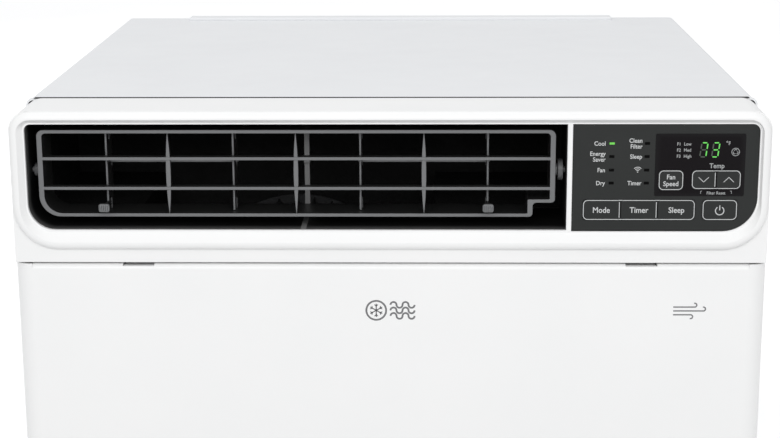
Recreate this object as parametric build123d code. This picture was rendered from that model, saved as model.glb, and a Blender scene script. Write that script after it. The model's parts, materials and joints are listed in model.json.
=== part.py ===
from build123d import *
import math
import os

# A window air conditioner. Millimetres; +X to the right, +Y into the window opening (the back), +Z up.
# The origin is the middle of the footprint, at the underside of the cabinet.

# ---------------------------------------------------------------- overall sizes
WIDTH = 600.0            # over the inlet panel
DEPTH = 565.0            # ring crest to the cabinet's rear edge
HEIGHT = 380.0           # to the top of the rear rail

# ---------------------------------------------------------------- cabinet
SHEET = 1.0              # cabinet steel
CASE_DEPTH = 65.0        # how far the front case stands ahead of the cabinet
CABINET_INSET = 4.0      # cabinet side in from the overall width
RAIL_HEIGHT = 3.0        # rear top rail above the cabinet
RAIL_WIDTH = 18.0
RAIL_END_INSET = 69.0    # rail end in from the cabinet side
RAIL_SET_IN = 2.0        # rail in from the cabinet's rear edge
RAIL_EDGE_R = 1.2
CABINET_CORNER = 5.0
HEM_DEPTH = 4.0          # folded hem along the cabinet's front edge
HEM_RISE = 0.6
SIDE_SLOT_LENGTH = 62.0
SIDE_SLOT_HEIGHT = 5.0
SIDE_SLOT_PITCH = 16.0
SIDE_SLOT_LOW = 20.0     # lowest slot above the pan's rim
SIDE_SLOT_TOP = 34.0     # highest slot below the cabinet's top
SIDE_SLOT_COLUMNS = (100.0, 20.0)   # column middles ahead of the fan shroud
REAR_SCREW_SHARES = (0.14, 0.5, 0.86)   # of the cabinet's height
SIDE_HOOD_PROUD = 3.0
SIDE_HOOD_SHEET = 0.9
GUIDE_HOLE_R = 2.1       # side guide screws, both sides
GUIDE_HOLE_SPACING = 240.0
GUIDE_HOLE_BACK = 60.0   # behind the cabinet's front edge
SILL_HOLE_R = 2.75       # sill bracket bolts in the cabinet floor
SILL_SPACING_X = 380.0
SILL_SPACING_Y = 50.0
SILL_BACK = 110.0        # pattern centre behind the cabinet's front edge
GRILLE_SHEET = 1.6
GRILLE_RECESS = 6.0      # grille face in from the cabinet's rear edge
GRILLE_FLANGE = 12.0
GRILLE_SLOT_HEIGHT = 7.5
GRILLE_SLOT_PITCH = 12.0
GRILLE_COLUMNS = 5
GRILLE_WEB = 9.0
GRILLE_BORDER = 16.0

# ---------------------------------------------------------------- chassis floor and walls
PAN_SHEET = 1.2
PAN_LIFT = 7.0           # runner height between cabinet floor and pan
PAN_SIDE_GAP = 1.5       # pan to cabinet wall
PAN_RIM = 21.0
PAN_REAR_GAP = 14.0      # pan to the rear grille's plane
PAN_FRONT = 36.0         # pan edge behind the ring crest
RUNNER_WIDTH = 26.0
RUNNER_INSET = 70.0
PARTITION_SHEET = 1.5
PARTITION_TOP_GAP = 4.0

# ---------------------------------------------------------------- front case
CASE_INSET = 2.0         # case side in from the overall width
CASE_WALL = 2.5
CASE_TOP_DROP = 2.0      # case top below the overall height
CASE_BOTTOM = 3.0
CASE_CORNER = 15.0
CASE_GAP = 0.8           # case to the cabinet's front edge
CASE_FACE_BACK = 5.5     # case face behind the ring crest
CASE_LOWER_BACK = 28.5   # lower case front behind the ring crest
RING_INSET = 2.5
RING_HEIGHT = 111.0
RING_CREST = 6.0         # soft outer edge of the ring
RING_CREST_LAND = 0.6    # flat left on the ring's side below its soft edge
RING_TOP_CORNER = 17.0
RING_LOW_CORNER = 35.0
DISH = 4.0               # how far the ring falls from its crest to the lip
DISH_START_SIDE = 6.5
DISH_START_TOP = 6.0
DISH_START_LOW = 6.5
BAND_HEIGHT = 11.0       # white band between ring and inlet panel
FACE_WALL = 3.0

# ---------------------------------------------------------------- air outlet
OUTLET_SIDE = 14.5       # outlet edge in from the overall width
OUTLET_TOP = 12.1        # outlet edge below the overall height
OUTLET_HEIGHT = 85.0
OUTLET_TOP_CORNER = 5.0
OUTLET_LOW_CORNER = 21.0
DIVIDER = 3.9            # strip between outlet and controls
HOUSING_WALL = 2.0
HOUSING_BACK = 78.0      # housing end behind the ring crest
POST_OFFSET = 5.5        # centre post, right of the louver's middle
POST_WIDTH = 4.0
POST_DEPTH = 7.0
POST_BOSS_R = 7.0

# ---------------------------------------------------------------- louver and vanes
LOUVER_GAP_LEFT = 7.5
LOUVER_GAP_RIGHT = 8.6
LOUVER_HEIGHT = 70.0
LOUVER_BACK = 13.5       # louver front behind the ring crest
LOUVER_DEPTH = 34.0
LOUVER_RAIL = 2.6        # top and bottom rail thickness
LOUVER_SIDE = 4.0
LOUVER_CORNER = 5.0
LOUVER_LOW_CORNER = 17.0
NOTCH_WIDTH = 17.5
NOTCH_HEIGHT = 11.5
NOTCH_CORNER = 3.0
BLADE_THICK = 2.4
BLADE_DEPTH = 8.0
BLADE_RISE = 12.0        # blade above and below the louver's middle
RIB_WIDTH = 3.6
RIB_DEPTH = 6.0
VANE_END = 2.3           # the vane pattern's end in from the louver's end
VANE_THICK = 1.6
VANE_CHORD = 22.0
VANE_FRONT_GAP = 10.0    # vane edge behind the louver's front
VANE_PLAY = 0.5
VANE_PIN_R = 1.6
VANE_PIN_LENGTH = 1.8
KNOB_WIDTH = 9.0
KNOB_HEIGHT = 7.0
KNOB_DEPTH = 5.0
KNOB_REACH = 20.0        # knob face ahead of the vane's front edge
KNOB_RISE = 8.5          # knob middle above the vane's foot
KNOB_SOFT = 2.0
STEM_R = 1.6
LINK_RISE = 4.0          # link bar's lower face above the louver's middle
LINK_THICK = 2.0
LINK_WIDTH = 5.0
LINK_PIN_R = 1.3
LINK_OPEN_PLAY = 0.4     # play at the pin where the linkage is left open
LINK_PIN_BACK = 4.0      # link pin in from the vane's rear edge
HUB_R = 5.5
HUB_DISC_R = 9.0
HUB_DISC_THICK = 4.0
HUB_AIR = 2.0            # hub face to the housing wall
HUB_PIN_R = 2.5
RUNNING = 0.05           # radial clearance of every pin that turns

# ---------------------------------------------------------------- controls
PANEL_WIDTH = 145.1
PANEL_SIDE = 11.4        # control panel edge in from the overall width
PANEL_TOP = 12.0
PANEL_HEIGHT = 86.0
PANEL_BACK = 5.0         # fascia face behind the ring crest
PANEL_THICK = 2.0
PANEL_FLANGE = 2.0
PANEL_FLANGE_WIDE = 2.5
PANEL_TOP_CORNER = 6.0
PANEL_LOW_CORNER = 27.0
WINDOW_THICK = 0.6
KEY_PROUD = 0.3
KEY_PLAY = 0.25
KEY_FLANGE = 0.3         # past the cap on each side, behind the fascia
KEY_FLANGE_THICK = 1.2
KEY_TRAVEL = 0.8
KEY_CORNER = 3.0
KEY_REST_GAP = 0.2
SWITCH_HEIGHT = 3.0
BOARD_THICK = 1.6
LAMP_R = 1.15
LAMP_LENGTH = 3.4

# ---------------------------------------------------------------- inlet panel and filter
INLET_BACK = 5.0         # inlet panel face behind the ring crest
INLET_WALL = 2.6
INLET_EDGE_R = 15.0
INLET_RETURN = 22.0      # side return depth
INLET_BOTTOM = 6.0
INLET_TOP_GAP = 1.5
BEAD_R = 4.5             # rounded top bead, on the hinge axis
CAP_CORNER = 0.9         # the cap's front top corner beyond the bead's radius
BEAD_SKIN = 1.2
EYE_WIDTH = 24.0
EYE_SIDE_PLAY = 0.5
EYE_R = 2.9
EYE_ARM = 4.0
EYE_INSET = 100.0        # hinge eye's middle in from the overall width
INLET_PIN_R = 1.5
INLET_PIN_GRIP = 4.0
INLET_SLOT_HEIGHT = 6.0
INLET_SLOT_PITCH = 14.0
FILTER_THICK = 6.0
FILTER_PLAY = 0.4
FILTER_BACK = 32.0       # filter front behind the ring crest
FILTER_BORDER = 9.0
FILTER_MESH = 0.8
FILTER_RIB = 3.0
FILTER_COLUMNS = 6
FILTER_ROWS = 3
FILTER_LIFT = 4.0        # filter foot above the base pan's rim
FILTER_TOP_GAP = 10.0    # filter top below the case's lower opening
FILTER_GUIDE = 2.0
FILTER_GUIDE_LIP = 4.0
FILTER_TAB = 26.0
FILTER_SHORT = 2.0       # filter end left of the coil's right end

# ---------------------------------------------------------------- heat exchangers and pipes
FIN_PITCH = 5.0
FIN_THICK = 0.8
COIL_CORE = 10.0
END_PLATE = 1.5
ROW_PITCH = 25.0
TUBE_R = 4.0
EVAP_BACK = 42.0         # evaporator front behind the ring crest
EVAP_THICK = 34.0
EVAP_LEFT = 30.0         # in from the overall width
EVAP_RIGHT = 100.0
EVAP_TOP_GAP = 8.0       # below the duct
COND_REAR = 25.0         # condenser rear in from the cabinet's rear edge
COND_THICK = 42.0
COND_LEFT = 28.0
COND_RIGHT = 50.0
COND_TOP = 32.0          # below the cabinet's top
DRAIN_WALL = 1.6
DRAIN_HEIGHT = 17.0
DRAIN_MARGIN = 3.0
SUCTION_R = 6.0
LIQUID_R = 3.5
DISCHARGE_R = 5.0
PIPE_BEND = 14.0
SUCTION_INSET = 38.0     # pipe run in from the overall width
LIQUID_INSET = 19.0
PIPE_HOLE_PLAY = 2.0
DRIER_R = 8.0
DRIER_LENGTH = 60.0

# ---------------------------------------------------------------- compressor
COMP_R = 59.0
DISCHARGE_OFFSET = 25.0  # discharge socket from the compressor's axis
SOCKET_DEPTH = 8.0       # how far a pipe enters the crown
COMP_BODY = 225.0
COMP_DOME = 14.0
COMP_SIDE = 110.0        # axis in from the overall width
COMP_BEHIND = 101.0      # axis behind the partition
FOOT_RADIUS = 76.0
FOOT_PLATE = 3.0
FOOT_LOBE = 15.0
GROMMET_R = 12.0
GROMMET_HEIGHT = 12.0
STUD_R = 4.0
STUD_ABOVE = 12.0
NUT_R = 7.5
NUT_HEIGHT = 6.0
ACC_R = 22.0
ACC_HEIGHT = 130.0
ACC_BOTTOM = 70.0
ACC_DISTANCE = 86.0
ACC_ANGLE = 46.0
STRAP = 1.5
STRAP_HEIGHT = 18.0
TERMINAL_R = 24.0
TERMINAL_HEIGHT = 26.0

# ---------------------------------------------------------------- fans, motor and duct
FAN_MARGIN = 34.0        # free height kept above and below the fan, averaged
FAN_LIFT = 10.8          # slinger ring above the pan
FAN_SIDE = 65.0          # fan tip in from the overall width
SHAFT_IN_BLOWER = 34.0   # shaft's length inside the blower wheel
SHAFT_IN_FAN = 6.0       # shaft's end short of the fan's rear face
FAN_DEPTH = 34.0
FAN_HUB_R = 28.0
FAN_BLADES = 5
FAN_PITCH_DEG = 28.0
SLINGER = 3.0
FAN_TIP_GAP = 4.0
SHROUD_WALL = 1.8
SHROUD_COLLAR = 20.0
SHROUD_DEPTH = 45.0
BLOWER_SMALLER = 55.0    # blower radius below the fan's
BLADE_BAND = 17.0
BLOWER_BLADES = 36
BLOWER_FACE_GAP = 8.0    # blower to the scroll's end walls
SCROLL_GAP = 27.0
SCROLL_WALL = 2.5
SCROLL_DEPTH = 138.0
SCROLL_BEHIND = 80.0     # scroll front wall behind the ring crest
SCROLL_FOOT = 60.0
MOTOR_R = 62.0
MOTOR_LENGTH = 90.0
MOTOR_BEHIND = 20.0      # motor behind the partition
MOTOR_BOSS_R = 22.0
MOTOR_BOSS = 8.0
BEARING_R = 14.0
BEARING_WIDTH = 10.0
BRACKET_SHEET = 2.5
BRACKET_FLANGE = 18.0
SHAFT_R = 6.0
SHAFT_HOLE_PLAY = 8.0

# ---------------------------------------------------------------- control electronics
BOX_SHEET = 1.0
BOX_LEFT_GAP = 4.5       # box side right of the control panel's left edge
BOX_RIGHT = 14.0
BOX_BELOW_DUCT = 81.0
BOX_TOP_GAP = 8.0
STANDOFF = 6.0
CAPACITOR_R = 12.0
CAPACITOR_HEIGHT = 34.0
SINK_FINS = 9
SINK_DEPTH = 24.0

# ---------------------------------------------------------------- small parts
SCREW_HEAD_R = 4.0
SCREW_HEAD = 1.7
SCREW_R = 1.7
SCREW_HOLE_R = 1.9
GLAND_HOLE_R = 6.5
GLAND_FLANGE_R = 11.0
GLAND_BORE_R = 4.0
GLAND_FLANGE = 1.5

# ---------------------------------------------------------------- places worked out from the sizes above
front = -DEPTH / 2                       # ring crest plane
back = DEPTH / 2
side = WIDTH / 2
cabinet_front = front + CASE_DEPTH
cabinet_half = side - CABINET_INSET
cabinet_top = HEIGHT - RAIL_HEIGHT
inner_half = cabinet_half - SHEET
pan_low = SHEET + PAN_LIFT
pan_top = pan_low + PAN_SHEET
pan_half = inner_half - PAN_SIDE_GAP
grille_face = back - GRILLE_RECESS
pan_back = grille_face - PAN_REAR_GAP
pan_front = front + PAN_FRONT

case_half = side - CASE_INSET
case_top = HEIGHT - CASE_TOP_DROP
case_back = cabinet_front - CASE_GAP
case_face = front + CASE_FACE_BACK
case_lower = front + CASE_LOWER_BACK
ring_half = side - RING_INSET
ring_low = case_top - RING_HEIGHT
band_low = ring_low - BAND_HEIGHT
lip = front + DISH

outlet_left = -side + OUTLET_SIDE
panel_right = side - PANEL_SIDE
panel_left = panel_right - PANEL_WIDTH
outlet_right = panel_left - DIVIDER
outlet_top = HEIGHT - OUTLET_TOP
outlet_low = outlet_top - OUTLET_HEIGHT
panel_top = HEIGHT - PANEL_TOP
panel_low = panel_top - PANEL_HEIGHT
housing_front = lip + FACE_WALL
housing_end = front + HOUSING_BACK

louver_left = outlet_left + LOUVER_GAP_LEFT
louver_right = outlet_right - LOUVER_GAP_RIGHT
louver_mid = (louver_left + louver_right) / 2
louver_axis_z = (outlet_low + outlet_top) / 2 + 1.1
louver_low = louver_axis_z - LOUVER_HEIGHT / 2
louver_top = louver_axis_z + LOUVER_HEIGHT / 2
louver_front = front + LOUVER_BACK
louver_rear = louver_front + LOUVER_DEPTH
louver_axis_y = (louver_front + louver_rear) / 2
vane_pitch = (louver_right - louver_left - 2 * VANE_END) / 4
vane_x = [louver_mid + (n - 1.5) * vane_pitch for n in range(4)]
rib_x = [louver_mid + n * vane_pitch for n in (-1, 0, 1)]
vane_front = louver_front + VANE_FRONT_GAP
vane_rear = vane_front + VANE_CHORD
vane_axis_y = (vane_front + vane_rear) / 2
vane_low = louver_low + LOUVER_RAIL + VANE_PLAY
vane_top = louver_top - LOUVER_RAIL - VANE_PLAY
link_pin_y = vane_rear - LINK_PIN_BACK

inlet_face = front + INLET_BACK
inlet_top = band_low - INLET_TOP_GAP
inlet_axis_y = inlet_face + BEAD_R
inlet_axis_z = inlet_top - BEAD_R
eye_x = side - EYE_INSET
filter_front = front + FILTER_BACK
filter_rear = filter_front + FILTER_THICK
filter_top = band_low - FILTER_TOP_GAP
filter_low = pan_top + PAN_RIM + FILTER_LIFT
filter_right = side - EVAP_RIGHT - FILTER_SHORT
filter_left = -case_half

duct_low = outlet_low - HOUSING_WALL
partition_front = front + SCROLL_BEHIND + SCROLL_DEPTH
partition_back = partition_front + PARTITION_SHEET
scroll_front = front + SCROLL_BEHIND
fan_r = (cabinet_top - pan_top) / 2 - FAN_MARGIN
axis_z = pan_top + FAN_LIFT + fan_r
axis_x = -side + FAN_SIDE + fan_r
blower_r = fan_r - BLOWER_SMALLER
scroll_r = blower_r + SCROLL_GAP
motor_front = partition_back + MOTOR_BEHIND
motor_back = motor_front + MOTOR_LENGTH

evap_front = front + EVAP_BACK
evap_back = evap_front + EVAP_THICK
evap_left = -side + EVAP_LEFT
evap_right = side - EVAP_RIGHT
evap_low = pan_top + DRAIN_WALL
evap_top = duct_low - EVAP_TOP_GAP
cond_back = back - COND_REAR
cond_front = cond_back - COND_THICK
cond_left = -side + COND_LEFT
cond_right = side - COND_RIGHT
cond_low = pan_top
cond_top = cabinet_top - COND_TOP
shroud_face = cond_front - SHROUD_DEPTH
comp_x = side - COMP_SIDE
comp_y = partition_back + COMP_BEHIND
comp_low = pan_top + GROMMET_HEIGHT
acc_x = comp_x + ACC_DISTANCE * math.cos(math.radians(ACC_ANGLE))
acc_y = comp_y + ACC_DISTANCE * math.sin(math.radians(ACC_ANGLE))
suction_x = side - SUCTION_INSET
liquid_x = side - LIQUID_INSET
box_left = panel_left + BOX_LEFT_GAP
box_right = side - BOX_RIGHT
box_low = duct_low - BOX_BELOW_DUCT
box_top = cabinet_top - BOX_TOP_GAP

fascia_face = front + PANEL_BACK
fascia_back = fascia_face + PANEL_THICK + PANEL_FLANGE
key_front = fascia_face - KEY_PROUD
key_back = fascia_back + KEY_REST_GAP + KEY_FLANGE_THICK
board_front = key_back + KEY_TRAVEL + SWITCH_HEIGHT
board_back = board_front + BOARD_THICK

# key name: left and right edge right of the panel's left edge, then low and high edge below its top
KEYS = {
    "mode_key": (8.7, 38.0, 77.0, 60.4),
    "timer_key": (38.8, 66.9, 77.0, 60.4),
    "sleep_key": (67.7, 96.7, 77.0, 60.4),
    "power_key": (102.4, 129.7, 77.0, 60.4),
    "fan_speed_key": (67.4, 86.9, 52.9, 36.7),
    "cooler_key": (93.2, 112.0, 52.0, 36.7),
    "warmer_key": (112.8, 131.6, 52.0, 36.7),
}
WINDOW = (64.3, 134.4, 57.7, 7.7)
DIGITS = (95.5, 118.0, 28.5, 12.0)
LAMP_COLUMNS = (30.7, 58.4)
LAMP_ROWS = (15.5, 25.9, 36.7, 47.1)


# ---------------------------------------------------------------- shape helpers
def block(x0, x1, y0, y1, z0, z1):
    """A box between two corners."""
    return Pos((x0 + x1) / 2, (y0 + y1) / 2, (z0 + z1) / 2) * Box(x1 - x0, y1 - y0, z1 - z0)


def rod_x(x0, x1, y, z, r):
    """A cylinder along X."""
    return Pos((x0 + x1) / 2, y, z) * Rot(0, 90, 0) * Cylinder(r, x1 - x0)


def rod_y(x, y0, y1, z, r):
    """A cylinder along Y."""
    return Pos(x, (y0 + y1) / 2, z) * Rot(90, 0, 0) * Cylinder(r, y1 - y0)


def rod_z(x, y, z0, z1, r):
    """A cylinder along Z."""
    return Pos(x, y, (z0 + z1) / 2) * Cylinder(r, z1 - z0)


def outline(points, radii):
    """A closed face through points, each corner rounded by its own radius."""
    return make_face(FilletPolyline(*points, radius=[max(r, 0.0) for r in radii], close=True).edges())


def rounded(x0, x1, z0, z1, low_left, low_right, top_right, top_left):
    """A rectangle with its own radius at each corner."""
    points = [(x0, z0), (x1, z0), (x1, z1), (x0, z1)]
    return outline(points, [low_left, low_right, top_right, top_left])


def along_y(face, y0, y1):
    """A face drawn in X and Z, extruded from y0 to y1."""
    return extrude(Plane((0, y1, 0), x_dir=(1, 0, 0), z_dir=(0, -1, 0)) * face, amount=y1 - y0)


def along_x(face, x0, x1):
    """A face drawn in Y and Z, extruded from x0 to x1."""
    return extrude(Plane((x0, 0, 0), x_dir=(0, 1, 0), z_dir=(1, 0, 0)) * face, amount=x1 - x0)


def along_z(face, z0, z1):
    """A face drawn in X and Y, extruded from z0 to z1."""
    return extrude(Plane((0, 0, z0)) * face, amount=z1 - z0)


def pipe(points, radius, bend):
    """A solid round bar along straight runs joined by tangent arcs."""
    path = FilletPolyline(*points, radius=bend)
    start = Plane(origin=path @ 0, z_dir=path % 0)
    return sweep(start * Circle(radius), path=path)


def evenly(low, high, pitch):
    """Places from low to high, pitch apart, centred in the span."""
    count = int((high - low) // pitch) + 1
    first = (low + high) / 2 - (count - 1) * pitch / 2
    return [first + n * pitch for n in range(count)]


def panel_box(edges, grow=0.0):
    """X and Z limits of something placed from the control panel's top left corner."""
    left, right, low, high = edges
    return (panel_left + left - grow, panel_left + right + grow,
            panel_top - low - grow, panel_top - high + grow)


# ---------------------------------------------------------------- cabinet
def side_hood(sign, y, z):
    """One pressed louver hood on the cabinet's side, open at its lower edge."""
    wall = sign * cabinet_half
    tip = wall + sign * SIDE_HOOD_PROUD
    sheet = sign * SIDE_HOOD_SHEET
    top = z + SIDE_SLOT_HEIGHT / 2 + SIDE_HOOD_SHEET
    low = z - SIDE_SLOT_HEIGHT / 2
    points = [(wall, top + SIDE_HOOD_SHEET), (tip, low + SIDE_HOOD_SHEET), (tip, low),
              (tip - sheet, low), (wall, top - SIDE_HOOD_SHEET)]
    face = make_face(Polyline(*points, close=True).edges())
    return along_y(face, y - SIDE_SLOT_LENGTH / 2, y + SIDE_SLOT_LENGTH / 2)


def side_slot_places():
    """Middle of every side slot, as (sign, y, z)."""
    low = pan_top + PAN_RIM + SIDE_SLOT_LOW
    rows = evenly(low, cabinet_top - SIDE_SLOT_TOP, SIDE_SLOT_PITCH)
    columns = [shroud_face - ahead for ahead in SIDE_SLOT_COLUMNS]
    return [(sign, y, z) for sign in (-1, 1) for y in columns for z in rows]


def rear_screw_heights():
    """Heights of the screws that hold the rear grille to each side."""
    return [cabinet_top * share for share in REAR_SCREW_SHARES]


def cabinet_shell():
    outer = rounded(-cabinet_half, cabinet_half, 0, cabinet_top,
                    CABINET_CORNER, CABINET_CORNER, CABINET_CORNER, CABINET_CORNER)
    bend = CABINET_CORNER - SHEET
    inner = rounded(-inner_half, inner_half, SHEET, cabinet_top - SHEET, bend, bend, bend, bend)
    shell = along_y(outer, cabinet_front, back) - along_y(inner, cabinet_front - 1, back + 1)
    hem_outer = rounded(-cabinet_half - HEM_RISE, cabinet_half + HEM_RISE, CABINET_CORNER,
                        cabinet_top + HEM_RISE, 0, 0, CABINET_CORNER, CABINET_CORNER)
    shell += along_y(hem_outer, cabinet_front, cabinet_front + HEM_DEPTH) - along_y(
        outer, cabinet_front - 1, cabinet_front + HEM_DEPTH + 1)
    for sign, y, z in side_slot_places():
        cut_in = sorted((sign * (inner_half - 1), sign * (cabinet_half + 1)))
        shell -= block(*cut_in, y - SIDE_SLOT_LENGTH / 2 + 1, y + SIDE_SLOT_LENGTH / 2 - 1,
                       z - SIDE_SLOT_HEIGHT / 2, z + SIDE_SLOT_HEIGHT / 2)
    shell += [side_hood(sign, y, z) for sign, y, z in side_slot_places()]
    guide_y = cabinet_front + GUIDE_HOLE_BACK
    mid = cabinet_top / 2
    for z in (mid - GUIDE_HOLE_SPACING / 2, mid + GUIDE_HOLE_SPACING / 2):
        shell -= rod_x(-side, side, guide_y, z, GUIDE_HOLE_R)
    for x in (-SILL_SPACING_X / 2, SILL_SPACING_X / 2):
        for y in (-SILL_SPACING_Y / 2, SILL_SPACING_Y / 2):
            shell -= rod_z(x, cabinet_front + SILL_BACK + y, -1, SHEET + 1, SILL_HOLE_R)
    for z in rear_screw_heights():
        shell -= rod_x(-side, side, grille_face - GRILLE_FLANGE / 2, z, SCREW_HOLE_R)
    return shell


def rear_top_rail():
    """The low rail that hooks the grille over the cabinet's rear top edge."""
    reach = cabinet_half - RAIL_END_INSET
    rail = block(-reach, reach, back - RAIL_WIDTH - RAIL_SET_IN, back - RAIL_SET_IN, cabinet_top, HEIGHT)
    edges = rail.edges().filter_by(Axis.Z) + rail.faces().sort_by(Axis.Z)[-1].edges()
    return fillet(edges, RAIL_EDGE_R)


def rear_grille():
    gap = 0.1
    half = inner_half - gap
    low = SHEET + gap
    high = cabinet_top - SHEET - gap
    plate = rounded(-half, half, low, high, CABINET_CORNER, CABINET_CORNER, CABINET_CORNER, CABINET_CORNER)
    across = (2 * (half - GRILLE_BORDER) - (GRILLE_COLUMNS - 1) * GRILLE_WEB) / GRILLE_COLUMNS
    first = -half + GRILLE_BORDER + across / 2
    places = [(first + n * (across + GRILLE_WEB), z) for n in range(GRILLE_COLUMNS)
              for z in evenly(low + GRILLE_BORDER, high - GRILLE_BORDER, GRILLE_SLOT_PITCH)]
    slots = [Pos(x, z) * Rectangle(across, GRILLE_SLOT_HEIGHT) for x, z in places]
    grille = along_y(plate - slots, grille_face - GRILLE_SHEET, grille_face)
    bend = CABINET_CORNER - GRILLE_SHEET
    inner = rounded(-half + GRILLE_SHEET, half - GRILLE_SHEET, low + GRILLE_SHEET, high - GRILLE_SHEET,
                    bend, bend, bend, bend)
    grille += along_y(plate - inner, grille_face - GRILLE_FLANGE, grille_face)
    for z in rear_screw_heights():
        grille -= rod_x(-side, side, grille_face - GRILLE_FLANGE / 2, z, SCREW_HOLE_R)
    return grille


def screw_x(sign, x, y, z, length):
    """A pan-head screw in a side wall whose outer face is at x; its head points outwards."""
    head = sorted((sign * x, sign * (x + SCREW_HEAD)))
    shank = sorted((sign * (x - length), sign * x))
    screw = rod_x(*head, y, z, SCREW_HEAD_R) + rod_x(*shank, y, z, SCREW_R)
    slot = sorted((sign * (x + SCREW_HEAD - 0.8), sign * (x + SCREW_HEAD + 1)))
    screw -= block(*slot, y - 2.4, y + 2.4, z - 0.5, z + 0.5)
    screw -= block(*slot, y - 0.5, y + 0.5, z - 2.4, z + 2.4)
    return screw


def cabinet_screws():
    y = grille_face - GRILLE_FLANGE / 2
    return [screw_x(sign, cabinet_half, y, z, 6.0) for sign in (-1, 1) for z in rear_screw_heights()]


# ---------------------------------------------------------------- chassis
def base_pan():
    rim = PAN_RIM
    pan = block(-pan_half, pan_half, pan_front, pan_back, pan_low, pan_top + rim)
    pan -= block(-pan_half + PAN_SHEET, pan_half - PAN_SHEET, pan_front + PAN_SHEET, pan_back - PAN_SHEET,
                 pan_top, pan_top + rim + 1)
    for sign in (-1, 1):
        x = sorted((sign * (pan_half - RUNNER_INSET), sign * (pan_half - RUNNER_INSET - RUNNER_WIDTH)))
        pan += block(*x, cabinet_front + 20, pan_back - 10, SHEET, pan_low)
        pan -= rod_x(*sorted((sign * (pan_half - 3), sign * side)), case_screw_y(), case_screw_z(), SCREW_HOLE_R)
    for x, y in foot_places():
        pan -= rod_z(x, y, pan_low - 1, pan_top + 1, STUD_R)
    return pan


def partition():
    top = cabinet_top - SHEET - PARTITION_TOP_GAP
    wall = block(-pan_half, pan_half, partition_front, partition_back, pan_top + PAN_RIM, top)
    wall += block(-pan_half + PAN_SHEET, pan_half - PAN_SHEET, partition_front, partition_back, pan_top,
                  pan_top + PAN_RIM)
    wall -= rod_y(axis_x, partition_front - 1, partition_back + 1, axis_z, SHAFT_R + SHAFT_HOLE_PLAY)
    wall -= rod_y(suction_x, partition_front - 1, partition_back + 1, evap_row(0), SUCTION_R + PIPE_HOLE_PLAY)
    wall -= rod_y(liquid_x, partition_front - 1, partition_back + 1, evap_row(0), LIQUID_R + PIPE_HOLE_PLAY)
    return wall


def drain_pan():
    """The tray under the evaporator, with a spout over the base pan."""
    x0, x1 = evap_left - DRAIN_MARGIN - DRAIN_WALL, evap_right + DRAIN_MARGIN + DRAIN_WALL
    y0, y1 = pan_front + PAN_SHEET + 0.5, evap_back + DRAIN_MARGIN + DRAIN_WALL
    tray = block(x0, x1, y0, y1, pan_top, pan_top + DRAIN_HEIGHT)
    tray -= block(x0 + DRAIN_WALL, x1 - DRAIN_WALL, y0 + DRAIN_WALL, y1 - DRAIN_WALL, evap_low,
                  pan_top + DRAIN_HEIGHT + 1)
    tray -= block(x1 - 60, x1 - 40, y1 - DRAIN_WALL - 1, y1 + 1, evap_low, pan_top + DRAIN_HEIGHT + 1)
    return tray


# ---------------------------------------------------------------- heat exchangers
def evap_row(n):
    """Height of tube row n of the evaporator."""
    return evap_low + DRAIN_HEIGHT + ROW_PITCH / 2 + n * ROW_PITCH


def cond_row(n):
    """Height of tube row n of the condenser."""
    return cond_low + ROW_PITCH / 2 + n * ROW_PITCH


def row_count(low, high):
    """How many tube rows a coil of this height has."""
    return int((high - low) // ROW_PITCH)


def finned_block(x0, x1, y0, y1, z0, z1):
    """A coil: a core slab with upright fins on both faces and an end plate at each end."""
    mid = (y0 + y1) / 2
    near, far = mid - COIL_CORE / 2, mid + COIL_CORE / 2
    fins = evenly(x0 + END_PLATE + FIN_PITCH, x1 - END_PLATE - FIN_PITCH, FIN_PITCH)
    spans = [(x0, x0 + END_PLATE)] + [(x - FIN_THICK / 2, x + FIN_THICK / 2) for x in fins]
    spans.append((x1 - END_PLATE, x1))
    points = []
    for a, b in spans:
        points += [(a, near), (a, y0), (b, y0), (b, near)]
    for a, b in reversed(spans):
        points += [(b, far), (b, y1), (a, y1), (a, far)]
    distinct = [p for n, p in enumerate(points) if p != points[n - 1]]
    return along_z(make_face(Polyline(*distinct, close=True).edges()), z0, z1)


def return_bend(sign, x, y, z):
    """A U tube on a coil's end plate at x, joining the rows at z and z + ROW_PITCH."""
    ring = Torus(ROW_PITCH / 2, TUBE_R, major_angle=180, align=(Align.CENTER, Align.MIN, Align.CENTER))
    turn = Rot(0, 0, -90) if sign > 0 else Rot(0, 0, 90)
    return Pos(x, y, z + ROW_PITCH / 2) * Rot(90, 0, 0) * turn * ring


def tube_columns(y0, y1):
    """The two tube columns of a coil."""
    quarter = (y1 - y0) / 4
    return (y0 + quarter, y1 - quarter)


def coil_bends(x0, x1, y0, y1, row, rows):
    """All return bends of a coil; the first and last row are left for its pipes on the right."""
    bends = []
    for y in tube_columns(y0, y1):
        bends += [return_bend(-1, x0, y, row(n)) for n in range(0, rows - 1, 2)]
        bends += [return_bend(1, x1, y, row(n)) for n in range(1, rows - 2, 2)]
    return bends


def evaporator_coil():
    return finned_block(evap_left, evap_right, evap_front, evap_back, evap_low, evap_top)


def evaporator_bends():
    rows = row_count(evap_low + DRAIN_HEIGHT, evap_top)
    return coil_bends(evap_left, evap_right, evap_front, evap_back, evap_row, rows)


def condenser_coil():
    return finned_block(cond_left, cond_right, cond_front, cond_back, cond_low, cond_top)


def condenser_bends():
    return coil_bends(cond_left, cond_right, cond_front, cond_back, cond_row, row_count(cond_low, cond_top))


def suction_line():
    """From the evaporator's lowest row to the accumulator's top."""
    z = evap_row(0)
    y = tube_columns(evap_front, evap_back)[1]
    top = ACC_BOTTOM + ACC_HEIGHT
    rise = comp_y - 30.0
    return pipe([(evap_right, y, z), (suction_x, y, z), (suction_x, rise, z), (suction_x, rise, top + 30),
                 (acc_x, acc_y, top + 30), (acc_x, acc_y, top)], SUCTION_R, PIPE_BEND)


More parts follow.
